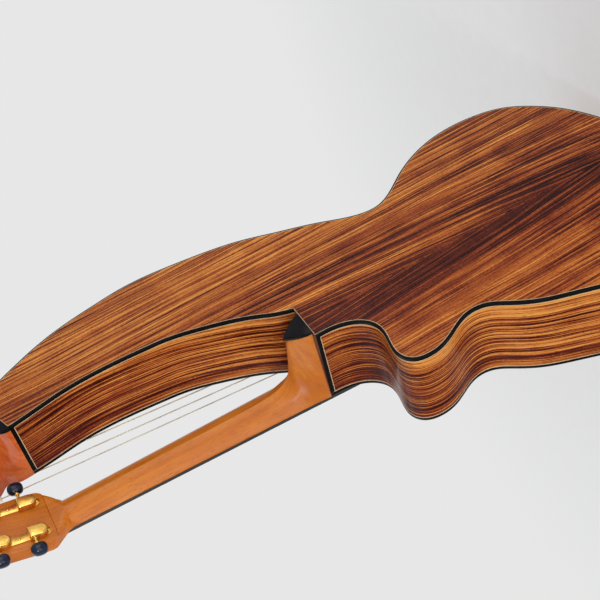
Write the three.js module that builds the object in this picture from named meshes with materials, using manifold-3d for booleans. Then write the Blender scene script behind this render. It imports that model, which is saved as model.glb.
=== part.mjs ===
import * as THREE from "three";
import { mergeVertices } from "three/addons/utils/BufferGeometryUtils.js";
import Module from "manifold-3d";

// Right-handed harp guitar: a steel-string guitar body with a treble cutaway, and on its bass
// side a hollow arm that carries five open sub-bass strings.
// Sizes are in millimetres. +Z runs up the neck, the soundboard faces -Y, the arched back +Y,
// and the treble side is +X. The origin is on the neck's centre line, where the strings leave
// the nut, in the plane of the soundboard's face.

const wasm = await Module();
wasm.setup();

// Clearances
const FIT = 0.3;
const OVERRUN = 2;
const WELD = 1e-5;
const BLEND = 0.5;

// Strings
const SCALE_LENGTH = 635;
const CLEAR_FRET_COUNT = 14;
const FRET_COUNT = 20;
const NUT_STRING_SPREAD = 37;
const BRIDGE_STRING_SPREAD = 54;
const HARP_FIRST_AT_BRIDGE = 39.6;
const HARP_SPACING_AT_BRIDGE = 11.2;
const HARP_SPACING_AT_NUT = 17.5;
const NECK_STRING_RADII = [0.68, 0.54, 0.42, 0.32, 0.22, 0.16];
const HARP_STRING_RADII = [0.74, 0.79, 0.84, 0.89, 0.94];
const HARP_STRING_GAP = 2;
const STRING_SIDES = 6;

// Body outline
const BODY_LENGTH = 487;
const WAIST_DROP = 160;
const HORN_REACH = 135.3;
const TREBLE_BOUT_REACH = 191;
const BASS_BOUT_REACH = 205.5;
const ARM_LENGTH = 352.5;
const ARM_REACH = 226;
const ARM_GAP_REACH = 98.3;
const ARM_END_WIDTH = 71;
const ARM_END_TILT_DEGREES = 18;
const OUTLINE_STEPS = 2;

// Body depth and walls
const HEEL_DEPTH = 102;
const TAIL_DEPTH = 122;
const BACK_ARCH_RADIUS = 3600;
const ARCH_FACETS = 24;
const SOUNDBOARD_THICKNESS = 2.8;
const BACK_THICKNESS = 2.8;
const SIDE_THICKNESS = 2.3;
const LINING_WIDTH = 7;
const LINING_DEPTH = 14;
const BINDING_WIDTH = 2.3;
const BINDING_DEPTH = 6;
const END_STRIP_WIDTH = 4.5;

// Sound hole
const SOUND_HOLE_RADIUS = 49;
const SOUND_HOLE_DROP = 143;
const SOUND_HOLE_FACETS = 40;

// Neck, heel and fingerboard
const NUT_WIDTH = 43.5;
const NECK_WIDTH_AT_BODY = 55;
const NECK_DEPTH_AT_NUT = 14.4;
const NECK_DEPTH_AT_BODY = 18;
const NECK_ROUNDNESS = 1.5;
const HEEL_WIDTH = 56;
const HEEL_CAP_WIDTH = 39;
const HEEL_PROJECTION = 31;
const HEEL_SWEEP_LENGTH = 50;
const HEEL_SWEEP_DEPTH = 35;
const HEEL_POINT = 1.6;
const CAP_THICKNESS = 3;
const CAP_SLOPE = 0.25;
const BODY_MARGIN = 0.5;
const FINGERBOARD_THICKNESS = 6;
const FINGERBOARD_OVERHANG = 6;
const FRET_WIDTH = 2.2;
const FRET_HEIGHT = 1.1;
const NUT_THICKNESS = 5;
const NUT_HEIGHT = 6.9;

// Headstock
const HEAD_LENGTH = 160;
const HEAD_WIDTH = 82;
const HEAD_ROOT_WIDTH = 71;
const HEAD_FLARE_LEAD = 16;
const HEAD_SQUARENESS = 14;
const HEAD_THICKNESS = 15;
const HEAD_TILT_DEGREES = 14;

// Harp head
const HARP_NUT_RISE = 44;
const HARP_NUT_HEIGHT = 9.7;
const HARP_NUT_MARGIN = 6;
const HARP_HEAD_LENGTH = 140;
const HARP_HEAD_WIDTH = 86;
const HARP_HEAD_THICKNESS = 16;
const HARP_HEAD_TILT_DEGREES = 10;
const HARP_HEAD_LEAN_DEGREES = 5;
const HARP_HEEL_PROJECTION = 26;
const HARP_HEEL_SWEEP_LENGTH = 24;
const HARP_HEEL_SWEEP_DEPTH = 40;
const HARP_HEEL_INSET = 0.4;

// Tuning machines
const HEAD_POST_RISE = 17;
const HARP_POST_RISE = 24;
const POST_SPACING = 42;
const POST_EDGE_DISTANCE = 16.5;
const POST_RADIUS = 3;
const POST_HEIGHT = 13;
const POST_WAIST_RADIUS = 2.4;
const POST_WAIST_WIDTH = 4;
const POST_HOLE_LENGTH = 50;
const POST_FACETS = 10;
const BUTTON_RINGS = 6;
const GEAR_RADIUS = 6;
const GEAR_THICKNESS = 3.2;
const WORM_RADIUS = 3;
const WORM_LENGTH = 11;
const SHAFT_RADIUS = 1.6;
const COLLAR_RADIUS = 2.8;
const COLLAR_LENGTH = 4;
const BUTTON_REACH = 26.5;
const BUTTON_WIDTH = 19;
const BUTTON_LENGTH = 16;
const BUTTON_THICKNESS = 9;
const COVER_ARC_FACETS = 8;
const COVER_WALL = 1.2;
const COVER_ROOM = 0.9;
const PLATE_THICKNESS = 1;
const PLATE_WIDTH = 12;
const PLATE_MARGIN = 12;

// Bridge and saddle
const BRIDGE_THICKNESS = 8.2;
const BRIDGE_FRONT = 9;
const BRIDGE_REAR = 17;
const BRIDGE_WING = 17;
const SADDLE_THICKNESS = 3.2;
const SADDLE_SLOT_DEPTH = 5;
const SADDLE_HEIGHT = 2.6;
const SADDLE_MARGIN = 5;
const PIN_RADIUS = 3;
const PIN_TIP_RADIUS = 2;
const PIN_HEIGHT = 3;
const PIN_DISTANCE = 10;
const PIN_FACETS = 8;

// Blocks, braces and strap pin inside and behind the body
const NECK_BLOCK_LENGTH = 62;
const TAIL_BLOCK_LENGTH = 30;
const TAIL_BLOCK_WIDTH = 80;
const HARP_BLOCK_LENGTH = 42;
const TENON_WIDTH = 19;
const TENON_LENGTH = 16;
const TENON_MARGIN = 12;
const BRACE_WIDTH = 8;
const BRACE_HEIGHT = 13;
const CROSS_BRACE_LENGTH = 330;
const CROSS_BRACE_DEGREES = 41;
const CROSS_BRACE_DROP = 222;
const TONE_BAR_LENGTH = 150;
const TONE_BAR_DEGREES = 48;
const BRIDGE_PLATE_THICKNESS = 3;
const SEAM_STRIP_WIDTH = 18;
const SEAM_STRIP_THICKNESS = 2.5;
const PIN_HEAD_RADIUS = 7;
const PIN_HEAD_THICKNESS = 3;
const PIN_NECK_RADIUS = 4.5;
const PIN_NECK_LENGTH = 6;
const PIN_STEM_RADIUS = 3.6;
const PIN_STEM_LENGTH = 24;
const PIN_STEM_FACETS = 12;

// Outline shares, chosen by hand. Cutaway: across from the heel corner to the horn's reach, and
// down in waist drops. Bouts: reach across, body length down. Arm: reach across, arm length up.
const CUTAWAY_SHARES = [
  [0.003, 0.125], [0.042, 0.23], [0.136, 0.33], [0.286, 0.393], [0.48, 0.393], [0.66, 0.37],
  [0.82, 0.372], [0.95, 0.428], [1, 0.53], [0.974, 0.67], [0.857, 0.82], [0.768, 0.95],
  [0.777, 1.088],
];
const TREBLE_BOUT_SHARES = [
  [0.66, 0.403], [0.757, 0.46], [0.822, 0.52], [0.89, 0.591], [0.958, 0.661], [1, 0.735],
  [0.984, 0.811], [0.906, 0.879], [0.759, 0.932], [0.55, 0.971], [0.288, 0.994], [0, 1],
];
const BASS_BOUT_SHARES = [
  [0.243, 0.987], [0.448, 0.962], [0.633, 0.928], [0.803, 0.877], [0.92, 0.822], [0.983, 0.75],
  [1, 0.673], [0.973, 0.597], [0.904, 0.526], [0.793, 0.456], [0.676, 0.397], [0.618, 0.347],
  [0.637, 0.29], [0.749, 0.2], [0.866, 0.095], [0.962, 0.007],
];
const ARM_OUTER_SHARES = [
  [0.927, 0.1], [0.971, 0.237], [0.998, 0.357], [1, 0.457], [0.98, 0.557], [0.942, 0.691],
  [0.889, 0.801], [0.823, 0.894], [0.76, 0.971],
];
const ARM_INNER_SHARES = [
  [0.855, 1], [0.9, 0.923], [0.972, 0.814], [1, 0.706], [0.99, 0.597], [0.959, 0.494],
  [0.92, 0.409], [0.804, 0.303], [0.636, 0.186], [0.483, 0.107], [0.39, 0.066],
];
// Headstock: half width across, head length up.
const HEAD_SHARES = [
  [0.94, 0.02], [0.985, 0.045], [1, 0.085], [0.99, 0.25], [0.93, 0.6], [0.885, 0.88],
  [0.84, 0.95], [0.73, 0.985], [0.4, 1], [0, 0.985],
];
const HARP_HEAD_SHARES = [
  [0.97, 0.05], [1, 0.13], [1, 0.35], [0.96, 0.6], [0.87, 0.8], [0.72, 0.93], [0.4, 0.99],
  [0, 1],
];
// Throat of the harp head, from the arm's end to its nut: across in arm end widths inwards
// from each corner, and up in shares of the way to the nut.
const THROAT_TREBLE_SHARES = [[-0.015, 0.37], [0.015, 0.6], [0.05, 0.76], [-0.015, 0.91]];
const THROAT_BASS_SHARES = [[0, 0.25], [0.01, 0.6]];
// Heights of the heel's sections, as shares of its depth from the fingerboard to the cap.
const HEEL_LEVEL_SHARES = [0.05, 0.14, 0.19, 0.23, 0.27, 0.32, 0.38, 0.46, 0.6, 0.8, 1.08];
const HEEL_ARCH_SHARES = [0, 0.16, 0.34, 0.5, 0.65, 0.78, 0.89, 0.96];
// Flare from the neck into the headstock: along, widened and squared.
const FLARE_SHARES = [[0.28, 0.14, 0.12], [0.53, 0.45, 0.3], [0.8, 0.76, 0.6], [1, 1, 1]];
const SHAFT_SHARES = [0, 0.25, 0.5, 0.75, 1];
const NECK_PROFILE_SHARES = [0, 0.22, 0.42, 0.6, 0.76, 0.88, 0.96];
const BACK_BAR_SHARES = [0.2, 0.4, 0.6, 0.8];
// Tone bars, from the crossing of the long braces: across and down in shares of those braces.
const TONE_BAR_SHARES = [[-0.029, 0.276], [0.106, 0.391]];

// Derived places
const fretDistance = (fret) => SCALE_LENGTH * (1 - 2 ** (-fret / 12));
const BODY_Z = -fretDistance(CLEAR_FRET_COUNT);
const TAIL_Z = BODY_Z - BODY_LENGTH;
const SADDLE_Z = -SCALE_LENGTH;
const HEEL_HALF = HEEL_WIDTH / 2 + BODY_MARGIN;
const LINING_INSET = LINING_WIDTH + FIT;
const PLATE_INSET = BINDING_WIDTH + FIT;
const RAIL_Y = SOUNDBOARD_THICKNESS + FIT;
const BACK_TAPER = (TAIL_DEPTH - HEEL_DEPTH) / BODY_LENGTH;
const HARP_NUT_Z = BODY_Z + ARM_LENGTH + HARP_NUT_RISE;
const BRIDGE_TOP_Y = -FIT - BRIDGE_THICKNESS;
const SADDLE_TOP_Y = BRIDGE_TOP_Y - SADDLE_HEIGHT;
const NUT_TOP_Y = -FIT - NUT_HEIGHT;
const HARP_NUT_TOP_Y = FIT - HARP_NUT_HEIGHT;
const DEPTH_LIMIT = 2 * TAIL_DEPTH;

function backFace(x, z) {
  return HEEL_DEPTH + BACK_TAPER * (BODY_Z - z) - (x * x) / (2 * BACK_ARCH_RADIUS);
}

function radians(degrees) {
  return THREE.MathUtils.degToRad(degrees);
}

// Joining and cutting of closed meshes

function toSolid(geometry) {
  const bare = geometry.clone();
  bare.deleteAttribute("normal");
  bare.deleteAttribute("uv");
  const merged = mergeVertices(bare, WELD);
  const mesh = new wasm.Mesh({
    numProp: 3,
    vertProperties: Float32Array.from(merged.attributes.position.array),
    triVerts: Uint32Array.from(merged.index.array),
  });
  return new wasm.Manifold(mesh);
}

function toGeometry(solid) {
  const mesh = solid.getMesh();
  const geometry = new THREE.BufferGeometry();
  geometry.setAttribute("position", new THREE.BufferAttribute(mesh.vertProperties, 3));
  geometry.setIndex(new THREE.BufferAttribute(mesh.triVerts, 1));
  return geometry;
}

function join(...geometries) {
  return toGeometry(geometries.map(toSolid).reduce((whole, next) => whole.add(next)));
}

function cut(geometry, ...tools) {
  return toGeometry(tools.map(toSolid).reduce((whole, tool) => whole.subtract(tool), toSolid(geometry)));
}

function common(...geometries) {
  return toGeometry(geometries.map(toSolid).reduce((whole, next) => whole.intersect(next)));
}

// A closed skin through a row of rings that have the same number of points.
function loft(rings, isClosed = false) {
  const size = rings[0].length;
  const positions = [];
  rings.forEach((ring) => ring.forEach((point) => positions.push(point.x, point.y, point.z)));
  const faces = [];
  const spans = isClosed ? rings.length : rings.length - 1;
  for (let i = 0; i < spans; i += 1) {
    const here = i * size;
    const next = ((i + 1) % rings.length) * size;
    for (let j = 0; j < size; j += 1) {
      const k = (j + 1) % size;
      faces.push([here + j, next + j, next + k], [here + j, next + k, here + k]);
    }
  }
  if (!isClosed) {
    const last = (rings.length - 1) * size;
    capFaces(rings[0]).forEach(([a, b, c]) => faces.push([a, b, c]));
    capFaces(rings[rings.length - 1]).forEach(([a, b, c]) => faces.push([last + c, last + b, last + a]));
  }
  const geometry = new THREE.BufferGeometry();
  geometry.setAttribute("position", new THREE.Float32BufferAttribute(positions, 3));
  const inward = signedVolume(positions, faces) < 0;
  geometry.setIndex(faces.flatMap(([a, b, c]) => (inward ? [a, c, b] : [a, b, c])));
  return geometry;
}

// Triangles that fill a flat ring, wound the way that the skin's first ring needs.
function capFaces(ring) {
  const normal = new THREE.Vector3();
  ring.forEach((point, i) => {
    normal.add(new THREE.Vector3().crossVectors(point, ring[(i + 1) % ring.length]));
  });
  normal.normalize();
  const across = new THREE.Vector3().subVectors(ring[1], ring[0]).normalize();
  const along = new THREE.Vector3().crossVectors(normal, across);
  const flat = ring.map((point) => new THREE.Vector2(point.dot(across), point.dot(along)));
  return THREE.ShapeUtils.triangulateShape(flat, []);
}

function signedVolume(positions, faces) {
  const corner = (i) => new THREE.Vector3(positions[3 * i], positions[3 * i + 1], positions[3 * i + 2]);
  return faces.reduce((sum, [a, b, c]) => sum + corner(a).dot(corner(b).cross(corner(c))), 0);
}

// Points (x, z) drawn out along Y between two heights.
function prism(points, lowY, highY, holes = []) {
  const shape = new THREE.Shape(points.map((point) => new THREE.Vector2(point.x, point.y)));
  shape.holes = holes;
  const geometry = new THREE.ExtrudeGeometry(shape, { depth: highY - lowY, bevelEnabled: false });
  geometry.rotateX(Math.PI / 2);
  geometry.translate(0, highY, 0);
  return geometry;
}

function box(lowX, highX, lowY, highY, lowZ, highZ) {
  const geometry = new THREE.BoxGeometry(highX - lowX, highY - lowY, highZ - lowZ);
  geometry.translate((lowX + highX) / 2, (lowY + highY) / 2, (lowZ + highZ) / 2);
  return geometry;
}

// A straight bar that is centred on (x, z), lies at an angle from the X axis and has its
// lower face at a height.
function bar(x, z, lowY, length, width, height, degrees) {
  const geometry = new THREE.BoxGeometry(length, height, width);
  geometry.rotateY(-radians(degrees));
  geometry.translate(x, lowY + height / 2, z);
  return geometry;
}

// Body outline, clockwise as the player's audience sees it

const heelTreble = new THREE.Vector2(HEEL_HALF, BODY_Z);
const heelBass = new THREE.Vector2(-HEEL_HALF, BODY_Z);
const armInnerCorner = new THREE.Vector2(-ARM_GAP_REACH * ARM_INNER_SHARES[0][0], BODY_Z + ARM_LENGTH);
const armEndDirection = new THREE.Vector2(
  -Math.cos(radians(ARM_END_TILT_DEGREES)),
  Math.sin(radians(ARM_END_TILT_DEGREES)),
);
const armOuterCorner = armInnerCorner.clone().addScaledVector(armEndDirection, ARM_END_WIDTH);
const armEndOutward = new THREE.Vector2(armEndDirection.y, -armEndDirection.x);

function outlineCurves() {
  const cutaway = CUTAWAY_SHARES.map(([across, down]) => new THREE.Vector2(
    HEEL_HALF + across * (HORN_REACH - HEEL_HALF),
    BODY_Z - down * WAIST_DROP,
  ));
  const trebleBout = TREBLE_BOUT_SHARES.map(([across, down]) => new THREE.Vector2(
    across * TREBLE_BOUT_REACH,
    BODY_Z - down * BODY_LENGTH,
  ));
  const bassBout = BASS_BOUT_SHARES.map(([across, down]) => new THREE.Vector2(
    -across * BASS_BOUT_REACH,
    BODY_Z - down * BODY_LENGTH,
  ));
  const armOuter = ARM_OUTER_SHARES.map(([across, up]) => new THREE.Vector2(
    -across * ARM_REACH,
    BODY_Z + up * ARM_LENGTH,
  ));
  const armInner = ARM_INNER_SHARES.map(([across, up]) => new THREE.Vector2(
    -across * ARM_GAP_REACH,
    BODY_Z + up * ARM_LENGTH,
  ));
  const outer = [heelTreble, ...cutaway, ...trebleBout, ...bassBout, ...armOuter, armOuterCorner];
  const inner = [...armInner, heelBass];
  return {
    outer: new THREE.SplineCurve(outer).getPoints((outer.length - 1) * OUTLINE_STEPS),
    inner: new THREE.SplineCurve(inner).getPoints((inner.length - 1) * OUTLINE_STEPS),
    tailIndex: (cutaway.length + trebleBout.length) * OUTLINE_STEPS,
  };
}

const curves = outlineCurves();
const outline = [...curves.outer, ...curves.inner];
const tailIndex = curves.tailIndex;
const outerEnd = curves.outer.length - 1;
const innerStart = outerEnd + 1;
const innerEnd = outline.length - 1;

function inwardNormal(from, to) {
  const along = new THREE.Vector2().subVectors(to, from).normalize();
  return new THREE.Vector2(along.y, -along.x);
}

// The step inwards at each outline point that keeps one wall thickness on both its edges.
const inwardSteps = outline.map((point, i) => {
  const before = inwardNormal(outline[(i + outline.length - 1) % outline.length], point);
  const after = inwardNormal(point, outline[(i + 1) % outline.length]);
  return before.clone().add(after).divideScalar(1 + before.dot(after));
});

function insetOutline(inset) {
  return outline.map((point, i) => point.clone().addScaledVector(inwardSteps[i], inset));
}

// Insets the sides by one amount and leaves the faces at the heel and the arm's end in place.
function insetBetweenEnds(inset) {
  const points = insetOutline(inset);
  const slide = (index, edgeIndex, direction) => {
    const normal = inwardNormal(outline[edgeIndex], outline[edgeIndex + 1]);
    points[index] = outline[index].clone().addScaledVector(direction, inset / direction.dot(normal));
  };
  slide(0, 0, new THREE.Vector2(-1, 0));
  slide(outerEnd, outerEnd - 1, armEndDirection.clone().negate());
  slide(innerStart, innerStart, armEndDirection);
  slide(innerEnd, innerEnd - 1, new THREE.Vector2(-1, 0));
  return points;
}

// A band along part of the outline. Each section point is an inset from the edge and a height
// at a place.
function band(first, last, section, ends = {}) {
  const rings = [];
  for (let i = first; i <= last; i += 1) {
    const step = ends[i] ?? inwardSteps[i];
    rings.push(section.map(({ inset, height }) => {
      const x = outline[i].x + step.x * inset;
      const z = outline[i].y + step.y * inset;
      return new THREE.Vector3(x, height(x, z), z);
    }));
  }
  return rings;
}

function endStep(index, edgeIndex, direction) {
  const normal = inwardNormal(outline[edgeIndex], outline[edgeIndex + 1]);
  return direction.clone().divideScalar(direction.dot(normal));
}

// Solids under and in the arched back

function archSlab(drop, thickness) {
  const reach = ARM_REACH + BASS_BOUT_REACH;
  const xs = Array.from({ length: ARCH_FACETS + 1 }, (_, i) => reach * (2 * i / ARCH_FACETS - 1));
  const outer = xs.map((x) => new THREE.Vector2(x, backFace(x, BODY_Z) - drop));
  const inner = outer.map((point) => new THREE.Vector2(point.x, point.y - thickness)).reverse();
  const highZ = HARP_NUT_Z;
  const lowZ = TAIL_Z - OVERRUN;
  const geometry = new THREE.ExtrudeGeometry(new THREE.Shape([...outer, ...inner]), {
    depth: highZ - lowZ,
    bevelEnabled: false,
  });
  geometry.translate(0, 0, lowZ - BODY_Z);
  const shear = new THREE.Matrix4().set(1, 0, 0, 0, 0, 1, -BACK_TAPER, 0, 0, 0, 1, 0, 0, 0, 0, 1);
  geometry.applyMatrix4(shear);
  geometry.translate(0, 0, BODY_Z);
  return geometry;
}

function underBack() {
  return archSlab(BACK_THICKNESS + FIT, DEPTH_LIMIT);
}

// Plates and rims

function soundboard() {
  const hole = new THREE.Path();
  const holeZ = BODY_Z - SOUND_HOLE_DROP;
  const ring = Array.from({ length: SOUND_HOLE_FACETS }, (_, i) => {
    const angle = (2 * Math.PI * i) / SOUND_HOLE_FACETS;
    return new THREE.Vector2(
      SOUND_HOLE_RADIUS * Math.cos(angle),
      holeZ + SOUND_HOLE_RADIUS * Math.sin(angle),
    );
  });
  hole.setFromPoints(ring);
  return prism(insetOutline(PLATE_INSET), 0, SOUNDBOARD_THICKNESS, [hole]);
}

function backPlate(side) {
  const seam = side * FIT / 2;
  const far = side * (ARM_REACH + OVERRUN);
  const half = box(
    Math.min(seam, far),
    Math.max(seam, far),
    0,
    DEPTH_LIMIT,
    TAIL_Z - OVERRUN,
    HARP_NUT_Z,
  );
  return common(
    archSlab(0, BACK_THICKNESS),
    prism(insetOutline(PLATE_INSET), 0, DEPTH_LIMIT),
    half,
  );
}

// The bent side with its linings, and the ledges that take the bindings.
function sideSection() {
  const ledgeY = BINDING_DEPTH + FIT;
  const plateY = (x, z) => backFace(x, z) - BACK_THICKNESS - FIT;
  const backLedgeY = (x, z) => backFace(x, z) - BINDING_DEPTH - FIT;
  return [
    { inset: 0, height: () => ledgeY },
    { inset: PLATE_INSET, height: () => ledgeY },
    { inset: PLATE_INSET, height: () => RAIL_Y },
    { inset: LINING_WIDTH, height: () => RAIL_Y },
    { inset: SIDE_THICKNESS, height: () => RAIL_Y + LINING_DEPTH },
    { inset: SIDE_THICKNESS, height: (x, z) => plateY(x, z) - LINING_DEPTH },
    { inset: LINING_WIDTH, height: plateY },
    { inset: PLATE_INSET, height: plateY },
    { inset: PLATE_INSET, height: backLedgeY },
    { inset: 0, height: backLedgeY },
  ];
}

function tailPinHole(radius) {
  const geometry = new THREE.CylinderGeometry(
    radius,
    radius,
    2 * (PIN_STEM_LENGTH + OVERRUN),
    PIN_STEM_FACETS,
  );
  geometry.rotateX(Math.PI / 2);
  geometry.translate(0, backFace(0, TAIL_Z) / 2, TAIL_Z);
  return geometry;
}

function tailSeam() {
  return box(-FIT / 2, FIT / 2, 0, DEPTH_LIMIT, TAIL_Z - OVERRUN, TAIL_Z + TAIL_BLOCK_LENGTH);
}

const tailStep = endStep(tailIndex, tailIndex, new THREE.Vector2(0, 1));
const trebleEnds = { 0: endStep(0, 0, new THREE.Vector2(-1, 0)), [tailIndex]: tailStep };
const outerEnds = {
  [tailIndex]: tailStep,
  [outerEnd]: endStep(outerEnd, outerEnd - 1, armEndDirection.clone().negate()),
};
const innerEnds = {
  [innerStart]: endStep(innerStart, innerStart, armEndDirection),
  [innerEnd]: inwardNormal(outline[innerEnd - 1], outline[innerEnd]),
};

function sideTreble() {
  const rim = loft(band(0, tailIndex, sideSection(), trebleEnds));
  const tailCuts = [tailPinHole(PIN_STEM_RADIUS + FIT), tailSeam()];
  return cut(rim, ...tailCuts, stripPocket(heelStripFrame()), ...heelPockets());
}

function sideBass() {
  const rim = loft(band(tailIndex, outerEnd, sideSection(), outerEnds));
  return cut(rim, tailPinHole(PIN_STEM_RADIUS + FIT), tailSeam(), ...armPockets());
}

function sideArmInner() {
  const rim = loft(band(innerStart, innerEnd, sideSection(), innerEnds));
  return cut(rim, stripPocket(armStripFrame()), ...heelPockets(), ...armPockets());
}

// End strips: the corner that they start from, the way along the side and the way in.

function heelStripFrame() {
  const along = new THREE.Vector2().subVectors(outline[1], outline[0]).normalize();
  return { corner: outline[0], along, inward: trebleEnds[0] };
}

function armStripFrame() {
  const along = new THREE.Vector2().subVectors(outline[innerStart + 1], outline[innerStart]).normalize();
  return { corner: outline[innerStart], along, inward: innerEnds[innerStart] };
}

function stripPoints({ corner, along, inward }, start, width, proud, depth) {
  const at = (a, b) => corner.clone().addScaledVector(along, a).addScaledVector(inward, b);
  return [at(start, -proud), at(width, -proud), at(width, depth), at(start, depth)];
}

function stripPocket(frame) {
  const points = stripPoints(frame, -OVERRUN, END_STRIP_WIDTH + FIT, OVERRUN, PLATE_INSET);
  return prism(points, 0, DEPTH_LIMIT);
}

function endStrip(frame) {
  const points = stripPoints(frame, 0, END_STRIP_WIDTH, 0, BINDING_WIDTH);
  const top = archSlab(BINDING_DEPTH - BLEND, DEPTH_LIMIT);
  return common(prism(points, BINDING_DEPTH + FIT, DEPTH_LIMIT), top);
}

function bindingSection(lowY, highY, outerInset, innerInset) {
  return [
    { inset: outerInset, height: lowY },
    { inset: innerInset, height: lowY },
    { inset: innerInset, height: highY },
    { inset: outerInset, height: highY },
  ];
}

function topBinding() {
  return loft(band(0, innerEnd, bindingSection(() => 0, () => BINDING_DEPTH, 0, BINDING_WIDTH)), true);
}

function backBindingRing() {
  const low = (x, z) => backFace(x, z) - BINDING_DEPTH;
  return loft(band(0, innerEnd, bindingSection(low, backFace, 0, BINDING_WIDTH)), true);
}

function backBinding() {
  return join(backBindingRing(), endStrip(heelStripFrame()), endStrip(armStripFrame()));
}

// Room for the bindings where they cross the heel face or the arm's end.
function endPockets(half, transform) {
  const depth = BINDING_DEPTH + FIT;
  const room = () => transform(box(-half, half, -OVERRUN, DEPTH_LIMIT, -PLATE_INSET, OVERRUN));
  const underTop = transform(box(-half, half, -OVERRUN, depth, -PLATE_INSET, OVERRUN));
  return [underTop, common(archSlab(-OVERRUN, depth + OVERRUN), room())];
}

function atHeel(geometry) {
  return geometry.translate(0, 0, BODY_Z);
}

function heelPockets() {
  return endPockets(HEEL_HALF + OVERRUN, atHeel);
}

function armPockets() {
  return endPockets(ARM_END_WIDTH, atArmEnd);
}

// Blocks and braces

function tenon(grow) {
  const half = TENON_WIDTH / 2 + grow;
  const highY = HEEL_DEPTH - BINDING_DEPTH - TENON_MARGIN + grow;
  return { half, lowY: BINDING_DEPTH + TENON_MARGIN - grow, highY, length: TENON_LENGTH + grow };
}

function neckTenon(grow, reach) {
  const { half, lowY, highY, length } = tenon(grow);
  return box(-half, half, lowY, highY, BODY_Z - length, BODY_Z + reach);
}

const armEndMiddle = armInnerCorner.clone().addScaledVector(armEndDirection, ARM_END_WIDTH / 2);

// Turns a solid that is drawn around the arm's end, with +Z out of it and +X to the treble
// side, into place.
function atArmEnd(geometry) {
  geometry.rotateY(radians(ARM_END_TILT_DEGREES));
  geometry.translate(armEndMiddle.x, 0, armEndMiddle.y);
  return geometry;
}

function harpTenon(grow, reach) {
  const { half, lowY, length } = tenon(grow);
  const highY = backFace(armEndMiddle.x, armEndMiddle.y) - BINDING_DEPTH - TENON_MARGIN + grow;
  return atArmEnd(box(-half, half, lowY, highY, -length, reach));
}

function blockSpace() {
  return common(prism(insetBetweenEnds(LINING_INSET), RAIL_Y, DEPTH_LIMIT), underBack());
}

function neckBlock() {
  const room = box(
    -HEEL_HALF + 2 * FIT,
    HEEL_HALF,
    0,
    DEPTH_LIMIT,
    BODY_Z - NECK_BLOCK_LENGTH,
    BODY_Z + OVERRUN,
  );
  return cut(common(blockSpace(), room), ...heelPockets(), neckTenon(FIT, OVERRUN));
}

function tailBlock() {
  const half = TAIL_BLOCK_WIDTH / 2;
  const highZ = TAIL_Z + LINING_INSET + TAIL_BLOCK_LENGTH;
  const room = box(-half, half, 0, DEPTH_LIMIT, TAIL_Z, highZ);
  return cut(common(blockSpace(), room), tailPinHole(PIN_STEM_RADIUS + FIT));
}

function harpBlock() {
  const half = ARM_END_WIDTH;
  const room = atArmEnd(box(-half, half, 0, DEPTH_LIMIT, -HARP_BLOCK_LENGTH, OVERRUN));
  return cut(common(blockSpace(), room), ...armPockets(), harpTenon(FIT, OVERRUN));
}

// Inside the linings, and above the tail block.
function braceSpace() {
  const lowZ = TAIL_Z + LINING_INSET + TAIL_BLOCK_LENGTH + FIT;
  const room = box(-ARM_REACH, ARM_REACH, 0, DEPTH_LIMIT, lowZ, HARP_NUT_Z);
  return common(prism(insetOutline(LINING_INSET + FIT), RAIL_Y, DEPTH_LIMIT), room);
}

function topBracing() {
  const crossZ = BODY_Z - CROSS_BRACE_DROP;
  const pieces = [-1, 1].map((side) => bar(
    0,
    crossZ,
    RAIL_Y,
    CROSS_BRACE_LENGTH,
    BRACE_WIDTH,
    BRACE_HEIGHT,
    side * CROSS_BRACE_DEGREES,
  ));
  TONE_BAR_SHARES.forEach(([across, down]) => pieces.push(bar(
    across * CROSS_BRACE_LENGTH,
    crossZ - down * CROSS_BRACE_LENGTH,
    RAIL_Y,
    TONE_BAR_LENGTH,
    BRACE_WIDTH,
    BRACE_HEIGHT,
    TONE_BAR_DEGREES,
  )));
  const span = bridgeSpan();
  pieces.push(box(
    span.low,
    span.high,
    RAIL_Y,
    RAIL_Y + BRIDGE_PLATE_THICKNESS,
    SADDLE_Z - BRIDGE_REAR,
    SADDLE_Z + BRIDGE_FRONT,
  ));
  return common(join(...pieces), braceSpace());
}

function backBracing() {
  const drop = BACK_THICKNESS + FIT;
  const highZ = BODY_Z - NECK_BLOCK_LENGTH - FIT;
  const lowZ = TAIL_Z + LINING_INSET + TAIL_BLOCK_LENGTH + FIT;
  const half = SEAM_STRIP_WIDTH / 2;
  const strip = common(
    archSlab(drop, SEAM_STRIP_THICKNESS),
    box(-half, half, 0, DEPTH_LIMIT, lowZ, highZ),
  );
  const bars = BACK_BAR_SHARES.map((share) => {
    const z = BODY_Z - share * BODY_LENGTH;
    const reach = ARM_REACH;
    const room = box(-reach, reach, 0, DEPTH_LIMIT, z - BRACE_WIDTH / 2, z + BRACE_WIDTH / 2);
    return common(archSlab(drop, BRACE_HEIGHT), room, braceSpace());
  });
  return join(strip, ...bars);
}

// Neck

function neckHalfWidth(z) {
  return (NUT_WIDTH + (NECK_WIDTH_AT_BODY - NUT_WIDTH) * (z / BODY_Z)) / 2;
}

// A section of the neck: flat in front and rounded behind, and tipped back from its front edge.
function neckRing(z, half, depth, roundness, tilt) {
  const place = (x, y) => new THREE.Vector3(x, y * Math.cos(tilt), z - y * Math.sin(tilt));
  const side = NECK_PROFILE_SHARES.map((share) => [
    half * (1 - share ** roundness) ** (1 / roundness),
    depth * share,
  ]);
  const other = side.map(([x, y]) => place(-x, y)).reverse();
  return [...side.map(([x, y]) => place(x, y)), place(0, depth), ...other];
}

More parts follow.
